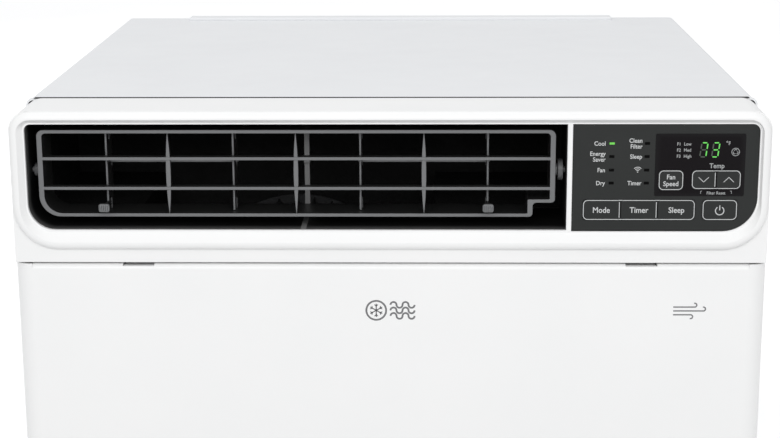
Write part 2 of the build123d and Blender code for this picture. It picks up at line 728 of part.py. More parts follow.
def liquid_points():
    """Route from the condenser's lowest row to the evaporator's."""
    z0, z1 = cond_row(0), evap_row(0)
    y0 = tube_columns(cond_front, cond_back)[0]
    y1 = tube_columns(evap_front, evap_back)[0]
    return [(cond_right, y0, z0), (liquid_x, y0, z0), (liquid_x, y0 - 60, z0), (liquid_x, y0 - 100, z1),
            (liquid_x, y1, z1), (evap_right, y1, z1)]


def drier_span():
    """Y limits of the filter drier on the liquid line."""
    y = partition_back + 40.0
    return y, y + DRIER_LENGTH


def liquid_line():
    return pipe(liquid_points(), LIQUID_R, PIPE_BEND - 4)


def filter_drier():
    y0, y1 = drier_span()
    body = rod_y(liquid_x, y0, y1, evap_row(0), DRIER_R)
    ends = body.edges().filter_by(GeomType.CIRCLE)
    body = fillet(ends, DRIER_R - LIQUID_R - 1.5)
    return body - rod_y(liquid_x, y0 - 1, y1 + 1, evap_row(0), LIQUID_R)


def discharge_line():
    """From the compressor's crown to the condenser's top row."""
    top = comp_low + COMP_BODY
    z = cond_row(row_count(cond_low, cond_top) - 1)
    y = tube_columns(cond_front, cond_back)[1]
    x = cond_right + 20
    start = comp_x - DISCHARGE_OFFSET
    route = [(start, comp_y, top - SOCKET_DEPTH), (start, comp_y, z), (x, comp_y, z), (x, y, z), (cond_right, y, z)]
    return pipe(route, DISCHARGE_R, PIPE_BEND - 4)


# ---------------------------------------------------------------- compressor
def foot_places():
    """The three stud places of the compressor."""
    return [(comp_x + FOOT_RADIUS * math.cos(math.radians(a)), comp_y + FOOT_RADIUS * math.sin(math.radians(a)))
            for a in (60, 180, 300)]


def compressor():
    """The welded shell with domed ends on its three-lobed foot plate."""
    low = comp_low + FOOT_PLATE
    top = comp_low + COMP_BODY
    body = rod_z(comp_x, comp_y, low, top, COMP_R)
    body = fillet(body.edges().filter_by(GeomType.CIRCLE), COMP_DOME)
    seam = rod_z(comp_x, comp_y, low + 30, low + 33, COMP_R + 1) + rod_z(comp_x, comp_y, top - 38, top - 35,
                                                                         COMP_R + 1)
    lobes = Sketch() + [Pos(x, y) * Circle(FOOT_LOBE) for x, y in foot_places()]
    plate = make_hull(lobes.edges())
    plate -= [Pos(x, y) * Circle(GROMMET_R - 3) for x, y in foot_places()]
    body = body + seam + along_z(plate, comp_low, low)
    body -= pipe_hole()
    return body


def pipe_hole():
    """The socket of the discharge line in the compressor's crown."""
    top = comp_low + COMP_BODY
    return rod_z(comp_x - DISCHARGE_OFFSET, comp_y, top - SOCKET_DEPTH, top + SOCKET_DEPTH, DISCHARGE_R)


def compressor_grommets():
    """Rubber mounts with a neck that the foot plate sits in."""
    mounts = []
    for x, y in foot_places():
        mount = rod_z(x, y, pan_top, comp_low, GROMMET_R)
        mount += rod_z(x, y, comp_low, comp_low + FOOT_PLATE, GROMMET_R - 3)
        mount += rod_z(x, y, comp_low + FOOT_PLATE, comp_low + FOOT_PLATE + 3, GROMMET_R - 1)
        mounts.append(mount - rod_z(x, y, pan_top - 1, comp_low + 20, STUD_R))
    return mounts


def compressor_studs():
    """Studs with their nuts, standing in the base pan."""
    top = comp_low + FOOT_PLATE + 3
    studs = []
    for x, y in foot_places():
        stud = rod_z(x, y, pan_low, top + STUD_ABOVE, STUD_R)
        stud += along_z(Pos(x, y) * RegularPolygon(NUT_R, 6), top, top + NUT_HEIGHT)
        studs.append(stud)
    return studs


def terminal_cover():
    """The cap over the compressor's electrical terminals."""
    top = comp_low + COMP_BODY
    cap = rod_z(comp_x + 14, comp_y, top, top + TERMINAL_HEIGHT, TERMINAL_R)
    cap = fillet(cap.faces().sort_by(Axis.Z)[-1].edges(), 5)
    return cap - rod_z(comp_x + 14, comp_y, top - 1, top + TERMINAL_HEIGHT - 3, TERMINAL_R - 2)


def accumulator():
    can = rod_z(acc_x, acc_y, ACC_BOTTOM, ACC_BOTTOM + ACC_HEIGHT, ACC_R)
    can = fillet(can.edges().filter_by(GeomType.CIRCLE), 8)
    return can


def accumulator_strap():
    """The steel strap round the accumulator, welded to the compressor."""
    z0 = ACC_BOTTOM + ACC_HEIGHT * 0.6
    z1 = z0 + STRAP_HEIGHT
    turn = Pos(comp_x, comp_y, 0) * Rot(0, 0, ACC_ANGLE)
    arm = turn * block(COMP_R - 3, ACC_DISTANCE - ACC_R + 3, -8, 8, z0, z1)
    strap = rod_z(acc_x, acc_y, z0, z1, ACC_R + STRAP) + arm
    strap -= rod_z(acc_x, acc_y, z0 - 1, z1 + 1, ACC_R)
    return strap - rod_z(comp_x, comp_y, z0 - 1, z1 + 1, COMP_R)


# ---------------------------------------------------------------- fans and motor
def fan_motor():
    body = rod_y(axis_x, motor_front, motor_back, axis_z, MOTOR_R)
    body = fillet(body.edges().filter_by(GeomType.CIRCLE), 8)
    body += rod_y(axis_x, motor_front - MOTOR_BOSS, motor_back + MOTOR_BOSS, axis_z, MOTOR_BOSS_R)
    y0, y1 = motor_front - MOTOR_BOSS, motor_back + MOTOR_BOSS
    body -= rod_y(axis_x, y0 - 1, y1 + 1, axis_z, SHAFT_R + 2)
    body -= rod_y(axis_x, y0 - 1, y0 + BEARING_WIDTH, axis_z, BEARING_R)
    body -= rod_y(axis_x, y1 - BEARING_WIDTH, y1 + 1, axis_z, BEARING_R)
    return body


def motor_bearings():
    y0, y1 = motor_front - MOTOR_BOSS, motor_back + MOTOR_BOSS
    rings = []
    for a, b in ((y0, y0 + BEARING_WIDTH), (y1 - BEARING_WIDTH, y1)):
        ring = rod_y(axis_x, a, b, axis_z, BEARING_R)
        rings.append(ring - rod_y(axis_x, a - 1, b + 1, axis_z, SHAFT_R + RUNNING))
    return rings


def motor_bracket():
    """A bent plate that stands in the base pan and carries the motor's front end."""
    half = MOTOR_R + 14
    y1 = motor_front
    y0 = y1 - BRACKET_SHEET
    top = axis_z + MOTOR_R + 12
    plate = block(axis_x - half, axis_x + half, y0, y1, pan_top, top)
    plate += block(axis_x - half, axis_x - half + BRACKET_SHEET, y0, motor_back, pan_top, axis_z)
    plate += block(axis_x + half - BRACKET_SHEET, axis_x + half, y0, motor_back, pan_top, axis_z)
    plate += block(axis_x - half - BRACKET_FLANGE, axis_x + half + BRACKET_FLANGE, y0, motor_back, pan_top,
                   pan_top + BRACKET_SHEET)
    return plate - rod_y(axis_x, y0 - 1, y1 + 1, axis_z, MOTOR_BOSS_R)


def fan_span():
    """Y limits of the condenser fan."""
    y1 = shroud_face - 2.0
    return y1 - FAN_DEPTH, y1


def blower_span():
    """Y limits of the blower wheel."""
    return scroll_front + SCROLL_WALL + BLOWER_FACE_GAP, partition_front - SCROLL_WALL - BLOWER_FACE_GAP


def fan_shaft():
    y0 = blower_span()[1] - SHAFT_IN_BLOWER
    y1 = fan_span()[1] - SHAFT_IN_FAN
    return chamfer(rod_y(axis_x, y0, y1, axis_z, SHAFT_R).edges().filter_by(GeomType.CIRCLE), 0.8)


def blower_wheel():
    """A squirrel-cage wheel, closed at the motor side, open at the inlet."""
    y0, y1 = blower_span()
    inner = blower_r - BLADE_BAND
    blade = Pos((inner + blower_r) / 2 - 0.5, 0) * Rot(0, 0, 25) * Rectangle(BLADE_BAND - 2, 1.2)
    blades = Sketch() + [Rot(0, 0, n * 360 / BLOWER_BLADES) * blade for n in range(BLOWER_BLADES)]
    wheel = along_y(Pos(axis_x, axis_z) * blades, y0, y1)
    ring = Circle(blower_r) - Circle(inner)
    wheel += along_y(Pos(axis_x, axis_z) * ring, y0, y0 + 4)
    wheel += rod_y(axis_x, y1 - 2, y1, axis_z, blower_r)
    wheel += rod_y(axis_x, y1 - 34, y1, axis_z, SHAFT_R + 8)
    return wheel - rod_y(axis_x, y0 - 1, y1 + 1, axis_z, SHAFT_R)


def condenser_fan():
    """An axial fan whose outer ring throws the pan's water at the coil."""
    y0, y1 = fan_span()
    mid = (y0 + y1) / 2
    inner, outer = FAN_HUB_R - 3, fan_r - SLINGER / 2
    width = 62.0
    blade = Rot(FAN_PITCH_DEG, 0, 0) * Box(outer - inner, width, 2.0)
    blades = [Pos(axis_x, mid, axis_z) * Rot(0, n * 360 / FAN_BLADES, 0) * Pos((inner + outer) / 2, 0, 0)
              * Rot(90, 0, 0) * blade for n in range(FAN_BLADES)]
    swept = Part() + blades
    slab = rod_y(axis_x, y0, y1, axis_z, fan_r - SLINGER / 2)
    fan = (swept & slab) + rod_y(axis_x, y0, y1, axis_z, FAN_HUB_R)
    ring = Circle(fan_r) - Circle(fan_r - SLINGER)
    fan += along_y(Pos(axis_x, axis_z) * ring, mid - 5, mid + 5)
    return fan - rod_y(axis_x, y0 - 1, y1 + 1, axis_z, SHAFT_R)


def fan_shroud():
    """The plate and box that duct the fan's air through the condenser."""
    hole = fan_r + FAN_TIP_GAP
    x0, x1, z0, z1 = cond_left, cond_right, pan_top, cond_top
    shroud = block(x0, x1, shroud_face, cond_front, z0, z1)
    shroud -= block(x0 + SHROUD_WALL, x1 - SHROUD_WALL, shroud_face + SHROUD_WALL, cond_front + 1,
                    z0 + SHROUD_WALL, z1 - SHROUD_WALL)
    shroud += rod_y(axis_x, shroud_face - SHROUD_COLLAR, shroud_face, axis_z, hole + SHROUD_WALL)
    return shroud - rod_y(axis_x, shroud_face - SHROUD_COLLAR - 1, shroud_face + SHROUD_WALL + 1, axis_z, hole)


def blower_scroll():
    """The scroll round the blower, its chimney and the duct that leads forward to the air outlet."""
    wall = SCROLL_WALL
    y0, y1 = scroll_front, partition_front
    duct_x = (outlet_left, outlet_right)
    duct_z = (duct_low, outlet_top + HOUSING_WALL)

    def shape(grow):
        chimney = block(axis_x - scroll_r - grow, axis_x + scroll_r + grow, y0 + wall - grow, y1 - wall + grow,
                        axis_z, duct_z[0] + wall + 1)
        drum = rod_y(axis_x, y0 + wall - grow, y1 - wall + grow, axis_z, scroll_r + grow)
        duct = block(duct_x[0] - grow, duct_x[1] + grow, y0 + wall - grow, y1 - wall + grow,
                     duct_z[0] + wall - grow, duct_z[1] - wall + grow)
        return chimney + drum + duct

    body = shape(wall)
    for x in (axis_x - SCROLL_FOOT, axis_x + SCROLL_FOOT):
        body += block(x - wall / 2, x + wall / 2, y0 + 12, y1, pan_top, axis_z - scroll_r * 0.7)
    body -= shape(0)
    body -= rod_y(axis_x, y0 - 1, y0 + wall + 1, axis_z, blower_r - 8)
    body -= rod_y(axis_x, y1 - wall - 1, y1 + 1, axis_z, SHAFT_R + SHAFT_HOLE_PLAY)
    body -= block(duct_x[0], duct_x[1], y0 - 1, y0 + wall + 1, duct_z[0] + wall, duct_z[1] - wall)
    return body


# ---------------------------------------------------------------- front case
def case_screw_y():
    """Y of the screws that hold the case to the base pan."""
    return (pan_front + case_back) / 2


def case_screw_z():
    """Z of the screws that hold the case to the base pan."""
    return pan_top + PAN_RIM * 0.6


def gland_place():
    """Y and Z of the cord gland in the case's right side."""
    return case_back - 16.0, case_screw_z() + 30.0


def case_profile(offset):
    """The case seen from its side, drawn in Y and Z; offset moves every wall but the rear one inwards."""
    rear = case_back + (1 if offset else 0)
    points = [(rear, CASE_BOTTOM + offset), (case_lower + offset, CASE_BOTTOM + offset),
              (case_lower + offset, band_low + offset), (case_face + offset, band_low + offset),
              (case_face + offset, case_top - offset), (rear, case_top - offset)]
    return make_face(Polyline(*points, close=True).edges())


def case_shell():
    """The outer walls, with the ring as a raised, softly rounded frame on the face."""
    shell = along_x(case_profile(0), -case_half, case_half)
    corners = shell.edges().filter_by(Axis.Y).group_by(Axis.Z)[-1]
    shell = fillet(corners, CASE_CORNER)
    ring = along_y(rounded(-ring_half, ring_half, ring_low, case_top, RING_LOW_CORNER, RING_LOW_CORNER,
                           RING_TOP_CORNER, RING_TOP_CORNER), front, case_face + FACE_WALL)
    ring = fillet(ring.faces().sort_by(Axis.Y)[0].edges(), RING_CREST - RING_CREST_LAND)
    cavity = along_x(case_profile(CASE_WALL), -case_half + CASE_WALL, case_half - CASE_WALL)
    cavity = fillet(cavity.edges().filter_by(Axis.Y).group_by(Axis.Z)[-1], CASE_CORNER - CASE_WALL)
    return shell + ring - cavity


def ring_dish():
    """What is cut from the ring so that it falls from its crest to the outlet and the controls."""
    x0, x1 = -ring_half + DISH_START_SIDE, ring_half - DISH_START_SIDE
    z0, z1 = ring_low + DISH_START_LOW, case_top - DISH_START_TOP
    low, top = RING_LOW_CORNER - DISH_START_LOW, RING_TOP_CORNER - DISH_START_TOP
    crest = rounded(x0, x1, z0, z1, low, low, top, top)
    lip_low, lip_high = min(outlet_low, panel_low) - 1.0, max(outlet_top, panel_top) + 1.0
    well = rounded(outlet_left - 1.0, panel_right + 1.0, lip_low, lip_high, OUTLET_LOW_CORNER, PANEL_LOW_CORNER,
                   PANEL_TOP_CORNER, OUTLET_TOP_CORNER)
    near = Plane((0, front - 0.01, 0), x_dir=(1, 0, 0), z_dir=(0, -1, 0)) * crest
    far = Plane((0, lip, 0), x_dir=(1, 0, 0), z_dir=(0, -1, 0)) * well
    return loft([near.face(), far.face()], ruled=True)


def outlet_face(grow=0.0):
    """The outlet's outline, grown outwards by grow."""
    return rounded(outlet_left - grow, outlet_right + grow, outlet_low - grow, outlet_top + grow,
                   OUTLET_LOW_CORNER + grow, grow, grow, OUTLET_TOP_CORNER + grow)


def panel_face(grow=0.0):
    """The control panel's outline, grown outwards by grow."""
    return rounded(panel_left - grow, panel_right + grow, panel_low - grow, panel_top + grow,
                   grow, PANEL_LOW_CORNER + grow, PANEL_TOP_CORNER + grow, grow)


def hinge_eye(sign):
    """A case eye for the inlet panel's pin, on an arm from the case."""
    x0, x1 = sorted((sign * (eye_x - EYE_WIDTH / 2), sign * (eye_x + EYE_WIDTH / 2)))
    eye = rod_x(x0, x1, inlet_axis_y, inlet_axis_z, EYE_R)
    half = EYE_ARM / 2
    eye += block(x0, x1, inlet_axis_y, case_lower + 1, inlet_axis_z - half, inlet_axis_z + half)
    return eye - rod_x(x0 - 1, x1 + 1, inlet_axis_y, inlet_axis_z, INLET_PIN_R + RUNNING)


def filter_guides():
    """Top and bottom channels that the filter slides in."""
    x0, x1 = -case_half + CASE_WALL, filter_right + 4
    guides = []
    for z, sign in ((filter_low, -1), (filter_top + FILTER_PLAY, 1)):
        floor = sorted((z, z + sign * FILTER_GUIDE))
        lips = sorted((z + sign * FILTER_GUIDE, z - sign * FILTER_GUIDE_LIP))
        near = filter_front - FILTER_PLAY
        far = filter_rear + FILTER_PLAY
        guide = block(x0, x1, case_lower + 1, far + FILTER_GUIDE, *floor)
        guide += block(x0, x1, far, far + FILTER_GUIDE, *lips)
        guide += block(x0, x1, near - FILTER_GUIDE, near, *lips)
        guides.append(guide)
    return guides


def front_case():
    case = case_shell() - ring_dish()
    reach = case_face + FACE_WALL + 3
    case -= along_y(outlet_face(), front - 1, reach)
    case -= along_y(panel_face(), front - 1, reach)
    # the face is thinned behind the lip, so that the housing and the fascia's flange seat on it
    flange = max(HOUSING_WALL, PANEL_FLANGE_WIDE) + 0.1
    case -= along_y(outlet_face(flange), housing_front, reach)
    case -= along_y(panel_face(flange), housing_front, reach)
    case += block(outlet_right, panel_left, lip, housing_front, outlet_low - 5, outlet_top + 2)
    # the lower front is open behind the inlet panel
    window_x1 = filter_right - FILTER_BORDER
    case -= block(evap_left, window_x1, case_lower - 1, case_lower + CASE_WALL + 1,
                  filter_low + FILTER_BORDER, filter_top - FILTER_BORDER)
    case += filter_guides()
    case -= block(-case_half - 1, -case_half + CASE_WALL + 1, filter_front - FILTER_PLAY,
                  filter_rear + FILTER_PLAY, filter_low, filter_top + FILTER_PLAY)
    case += [hinge_eye(sign) for sign in (-1, 1)]
    for sign in (-1, 1):
        wall = sorted((sign * (case_half - CASE_WALL - 1), sign * (case_half + 1)))
        case -= rod_x(*wall, case_screw_y(), case_screw_z(), SCREW_HOLE_R)
        x = sign * (side - 90)
        case += block(x - 20, x + 20, pan_front + 4, case_back - 2, CASE_BOTTOM + CASE_WALL, pan_low)
    gland_y, gland_z = gland_place()
    case -= rod_x(case_half - CASE_WALL - 1, case_half + 1, gland_y, gland_z, GLAND_HOLE_R)
    return case


def case_screws():
    return [screw_x(sign, case_half, case_screw_y(), case_screw_z(), 8.0) for sign in (-1, 1)]


def cord_gland():
    """The rubber gland that the supply cord leaves through."""
    y, z = gland_place()
    inner = case_half - CASE_WALL
    gland = rod_x(case_half, case_half + GLAND_FLANGE, y, z, GLAND_FLANGE_R)
    gland += rod_x(inner - 2, case_half, y, z, GLAND_HOLE_R)
    gland += rod_x(inner - 4, inner, y, z, GLAND_HOLE_R + 1.5)
    return gland - rod_x(inner - 5, case_half + GLAND_FLANGE + 1, y, z, GLAND_BORE_R)


# ---------------------------------------------------------------- air outlet
def hub_hole(x0, x1, radius):
    """A round piece on the louver's tilt axis."""
    return rod_x(x0, x1, louver_axis_y, louver_axis_z, radius)


def post_span():
    """Y limits of the centre post, clear of the tilting louver."""
    swing = math.hypot(LOUVER_DEPTH / 2, LOUVER_HEIGHT / 2)
    y0 = louver_axis_y + swing - 7.5
    return y0, y0 + POST_DEPTH


def outlet_housing():
    """The black duct end behind the case's opening, with the louver's bearings and the centre post."""
    tube = along_y(outlet_face(HOUSING_WALL), housing_front, housing_end)
    tube -= along_y(outlet_face(), housing_front - 1, housing_end + 1)
    for x0, x1 in ((outlet_left - 4.5, outlet_left), (outlet_right, outlet_right + 4.5)):
        tube += hub_hole(x0, x1, HUB_R)
    tube -= hub_hole(outlet_left - 6, outlet_left + 1, HUB_PIN_R + RUNNING)
    tube -= hub_hole(outlet_right - 1, outlet_right + 6, HUB_PIN_R + RUNNING)
    x = louver_mid + POST_OFFSET
    y0, y1 = post_span()
    tube += block(x - POST_WIDTH / 2, x + POST_WIDTH / 2, y0, y1, outlet_low - 1, outlet_top + 1)
    tube += rod_x(x - POST_WIDTH / 2 - 1, x + POST_WIDTH / 2 + 1, (y0 + y1) / 2, louver_axis_z, POST_BOSS_R / 2 + 1)
    return tube


def louver_face():
    """The louver's front outline with the notch at its lower right."""
    x0, x1, z0, z1 = louver_left, louver_right, louver_low, louver_top
    points = [(x0, z0), (x1 - NOTCH_WIDTH, z0), (x1 - NOTCH_WIDTH, z0 + NOTCH_HEIGHT), (x1, z0 + NOTCH_HEIGHT),
              (x1, z1), (x0, z1)]
    radii = [LOUVER_LOW_CORNER, NOTCH_CORNER, NOTCH_CORNER, NOTCH_CORNER, LOUVER_CORNER, LOUVER_CORNER]
    return outline(points, radii)


def louver_opening():
    """The louver's inner outline, one rail in from the outer one."""
    x0, x1 = louver_left + LOUVER_SIDE, louver_right - LOUVER_SIDE
    z0, z1 = louver_low + LOUVER_RAIL, louver_top - LOUVER_RAIL
    step = louver_right - NOTCH_WIDTH - LOUVER_SIDE
    points = [(x0, z0), (step, z0), (step, z0 + NOTCH_HEIGHT), (x1, z0 + NOTCH_HEIGHT), (x1, z1), (x0, z1)]
    inner = LOUVER_LOW_CORNER - LOUVER_RAIL
    return outline(points, [inner, 1.0, 1.0, 1.0, LOUVER_CORNER - 2, LOUVER_CORNER - 2])


def spindle(x):
    """An upright rib, thick in its middle and pointed at its ends."""
    z0, z1 = louver_low + LOUVER_RAIL / 2, louver_top - LOUVER_RAIL / 2
    half = RIB_WIDTH / 2
    right = ThreePointArc((x, z0), (x + half, louver_axis_z), (x, z1))
    left = ThreePointArc((x, z1), (x - half, louver_axis_z), (x, z0))
    return along_y(make_face([right, left]), louver_front + 0.5, louver_front + 0.5 + RIB_DEPTH)


def louver_frame():
    """The tilting frame: rim, two blades, three ribs and its hubs."""
    frame = along_y(louver_face() - louver_opening(), louver_front, louver_rear)
    for z in (louver_axis_z - BLADE_RISE, louver_axis_z + BLADE_RISE):
        frame += block(louver_left + 0.5, louver_right - 0.5, louver_front, louver_front + BLADE_DEPTH,
                       z - BLADE_THICK / 2, z + BLADE_THICK / 2)
    frame += [spindle(x) for x in rib_x]
    left_face = outlet_left + HUB_AIR
    right_face = outlet_right - HUB_AIR
    frame += hub_hole(left_face, louver_left + 1, HUB_R)
    frame += hub_hole(outlet_left - 4, left_face, HUB_PIN_R)
    frame += hub_hole(louver_right - 1, right_face, HUB_R)
    frame += hub_hole(right_face - HUB_DISC_THICK, right_face, HUB_DISC_R)
    frame += hub_hole(right_face, outlet_right + 4, HUB_PIN_R)
    hole = VANE_PIN_R + RUNNING
    for x in vane_x:
        frame -= rod_z(x, vane_axis_y, louver_low - 1, louver_low + LOUVER_RAIL + 1, hole)
        frame -= rod_z(x, vane_axis_y, louver_top - LOUVER_RAIL - 1, louver_top + 1, hole)
    return frame


def vane(n):
    """One upright vane with its end pins and its link pin; the outer two carry a knob."""
    x = vane_x[n]
    plan = rounded(x - VANE_THICK / 2, x + VANE_THICK / 2, vane_front, vane_rear, 0.5, 0.5, 0.5, 0.5)
    body = along_z(plan, vane_low, vane_top)
    link_z = louver_axis_z + LINK_RISE
    body -= block(x - 2, x + 2, link_pin_y - LINK_WIDTH / 2 - 1.5, vane_rear + 1, link_z - 0.5,
                  link_z + LINK_THICK + 0.5)
    body += rod_z(x, link_pin_y, link_z - 3, link_z + LINK_THICK + 3, LINK_PIN_R)
    body += rod_z(x, vane_axis_y, vane_low - VANE_PLAY - VANE_PIN_LENGTH, vane_low + 8, VANE_PIN_R)
    body += rod_z(x, vane_axis_y, vane_top - 8, vane_top + VANE_PLAY + VANE_PIN_LENGTH, VANE_PIN_R)
    if n in (0, 3):
        z = vane_low + KNOB_RISE - LOUVER_RAIL
        face = vane_front - KNOB_REACH
        body += rod_y(x, face + KNOB_DEPTH - 1, vane_front + 3, z, STEM_R)
        knob = block(x - KNOB_WIDTH / 2, x + KNOB_WIDTH / 2, face, face + KNOB_DEPTH, z - KNOB_HEIGHT / 2,
                     z + KNOB_HEIGHT / 2)
        knob = fillet(knob.edges(), KNOB_SOFT)
        for groove in evenly(x - KNOB_WIDTH / 2 + 1.5, x + KNOB_WIDTH / 2 - 1.5, 1.5):
            knob -= block(groove - 0.3, groove + 0.3, face - 1, face + 0.5, z - KNOB_HEIGHT, z + KNOB_HEIGHT)
        body += knob
    return body


def link_bar(first):
    """A bar that gangs vane `first` to the next; its far hole has the play of the opened linkage."""
    x0, x1 = vane_x[first], vane_x[first + 1]
    tight, loose = (x0, x1) if first == 0 else (x1, x0)
    z0 = louver_axis_z + LINK_RISE
    bar = Pos((x0 + x1) / 2, link_pin_y) * SlotCenterToCenter(x1 - x0, LINK_WIDTH)
    bar -= Pos(tight, link_pin_y) * Circle(LINK_PIN_R + RUNNING)
    bar -= Pos(loose, link_pin_y) * Circle(LINK_PIN_R + LINK_OPEN_PLAY)
    return along_z(bar, z0, z0 + LINK_THICK)


# ---------------------------------------------------------------- controls
def control_fascia():
    body = along_y(panel_face(-0.15), fascia_face, fascia_back)
    body += along_y(panel_face(PANEL_FLANGE_WIDE), housing_front, fascia_back) & block(
        panel_left - DIVIDER / 3, side, housing_front, fascia_back, 0, HEIGHT)
    x0, x1, z0, z1 = panel_box(WINDOW)
    body -= along_y(rounded(x0, x1, z0, z1, 1.5, 1.5, 1.5, 1.5), fascia_face - 1, fascia_face + WINDOW_THICK)
    x0, x1, z0, z1 = panel_box(DIGITS)
    body -= block(x0, x1, fascia_face, fascia_back + 1, z0, z1)
    for edges in KEYS.values():
        body -= along_y(key_face(edges, KEY_PLAY), fascia_face - 1, fascia_back + 1)
    for x, z in lamp_places():
        body -= rod_y(x, fascia_face - 1, fascia_back + 1, z, LAMP_R)
    return body


def key_face(edges, grow):
    """A key's outline, grown by grow."""
    r = KEY_CORNER + grow
    return rounded(*panel_box(edges, grow), r, r, r, r)


def display_window():
    x0, x1, z0, z1 = panel_box(WINDOW, -0.05)
    pane = along_y(rounded(x0, x1, z0, z1, 1.5, 1.5, 1.5, 1.5), fascia_face, fascia_face + WINDOW_THICK)
    for edges in KEYS.values():
        pane -= along_y(key_face(edges, KEY_PLAY), fascia_face - 1, fascia_face + WINDOW_THICK + 1)
    return pane


def lamp_places():
    """X and Z of every indicator lamp."""
    return [(panel_left + x, panel_top - z) for x in LAMP_COLUMNS for z in LAMP_ROWS]


def indicator_lamps():
    return [rod_y(x, fascia_face - 0.1, fascia_face + LAMP_LENGTH, z, LAMP_R) for x, z in lamp_places()]


def digit_display():
    """The two-digit display module on its circuit board, behind the window."""
    x0, x1, z0, z1 = panel_box(DIGITS, -0.3)
    return block(x0, x1, fascia_face + WINDOW_THICK + 0.2, board_front, z0, z1)


def key(name):
    """A key cap with the flange that keeps it behind the fascia."""
    edges = KEYS[name]
    cap = along_y(key_face(edges, 0), key_front, key_back)
    cap = fillet(cap.faces().sort_by(Axis.Y)[0].edges(), 0.25)
    return cap + along_y(key_face(edges, KEY_FLANGE), fascia_back + KEY_REST_GAP, key_back)


def display_board():
    """The display circuit board with a push switch behind each key."""
    board = block(panel_left + 3, panel_right - 3, board_front, board_back, panel_low + 4, panel_top - 3)
    for edges in KEYS.values():
        x0, x1, z0, z1 = panel_box(edges)
        x, z = (x0 + x1) / 2, (z0 + z1) / 2
        board += block(x - 3, x + 3, board_front - SWITCH_HEIGHT + 0.6, board_front, z - 3, z + 3)
        board += rod_y(x, board_front - SWITCH_HEIGHT, board_front, z, 1.7)
    return board


def display_board_posts():
    """Posts that hold the display board off the fascia."""
    posts = []
    for x in (panel_left + 6, panel_right - 6):
        for z in (panel_low + 31, panel_top - 6):
            posts.append(rod_y(x, fascia_back, board_front, z, 2.2))
    return posts


def control_box():
    """The folded steel box for the electronics, open at its front, with a sensor lead hole."""
    box = block(box_left, box_right, scroll_front, partition_front, box_low, box_top)
    return box - block(box_left + BOX_SHEET, box_right - BOX_SHEET, scroll_front - 1, partition_front - BOX_SHEET,
                       box_low + BOX_SHEET, box_top - BOX_SHEET)


def main_board_limits():
    """X of the board's two faces, then its Y and Z limits."""
    x0 = box_left + BOX_SHEET + STANDOFF
    return x0, x0 + BOARD_THICK, scroll_front + 10, partition_front - 10, box_low + 8, box_top - 8


def main_board():
    x0, x1, y0, y1, z0, z1 = main_board_limits()
    board = block(x0, x1, y0, y1, z0, z1)
    for y in (y0 + 5, y1 - 5):
        for z in (z0 + 5, z1 - 5):
            board += rod_x(box_left + BOX_SHEET, x0, y, z, 2.5)
    return board


def board_components():
    """Capacitors, relays and the choke on the main board."""
    face = main_board_limits()[1]
    y0, z0 = main_board_limits()[2], main_board_limits()[4]
    parts = [rod_x(face, face + CAPACITOR_HEIGHT, y0 + 20 + n * 28, z0 + 20, CAPACITOR_R) for n in range(3)]
    parts += [block(face, face + 16, y0 + 10 + n * 24, y0 + 28 + n * 24, z0 + 44, z0 + 58) for n in range(4)]
    parts.append(block(face, face + 30, y0 + 8, y0 + 48, z0 + 80, z0 + 112))
    return parts


def heat_sink():
    """The finned heat sink behind the power module."""
    face = main_board_limits()[1]
    y0, z0 = main_board_limits()[2] + 62, main_board_limits()[4] + 78
    sink = block(face, face + 5, y0, y0 + 48, z0, z0 + 60)
    for y in evenly(y0 + 1, y0 + 47, 46 / (SINK_FINS - 1)):
        sink += block(face + 5, face + SINK_DEPTH, y - 0.9, y + 0.9, z0, z0 + 60)
    return sink


def room_sensor():
    """The room-air sensor clipped to the evaporator's front face."""
    x, z = evap_right - 40.0, evap_top - 50.0
    bulb = rod_z(x, evap_front - 4.0, z - 14, z + 14, 2.5)
    return bulb + block(x - 4, x + 4, evap_front - 4, evap_front, z - 3, z + 3)


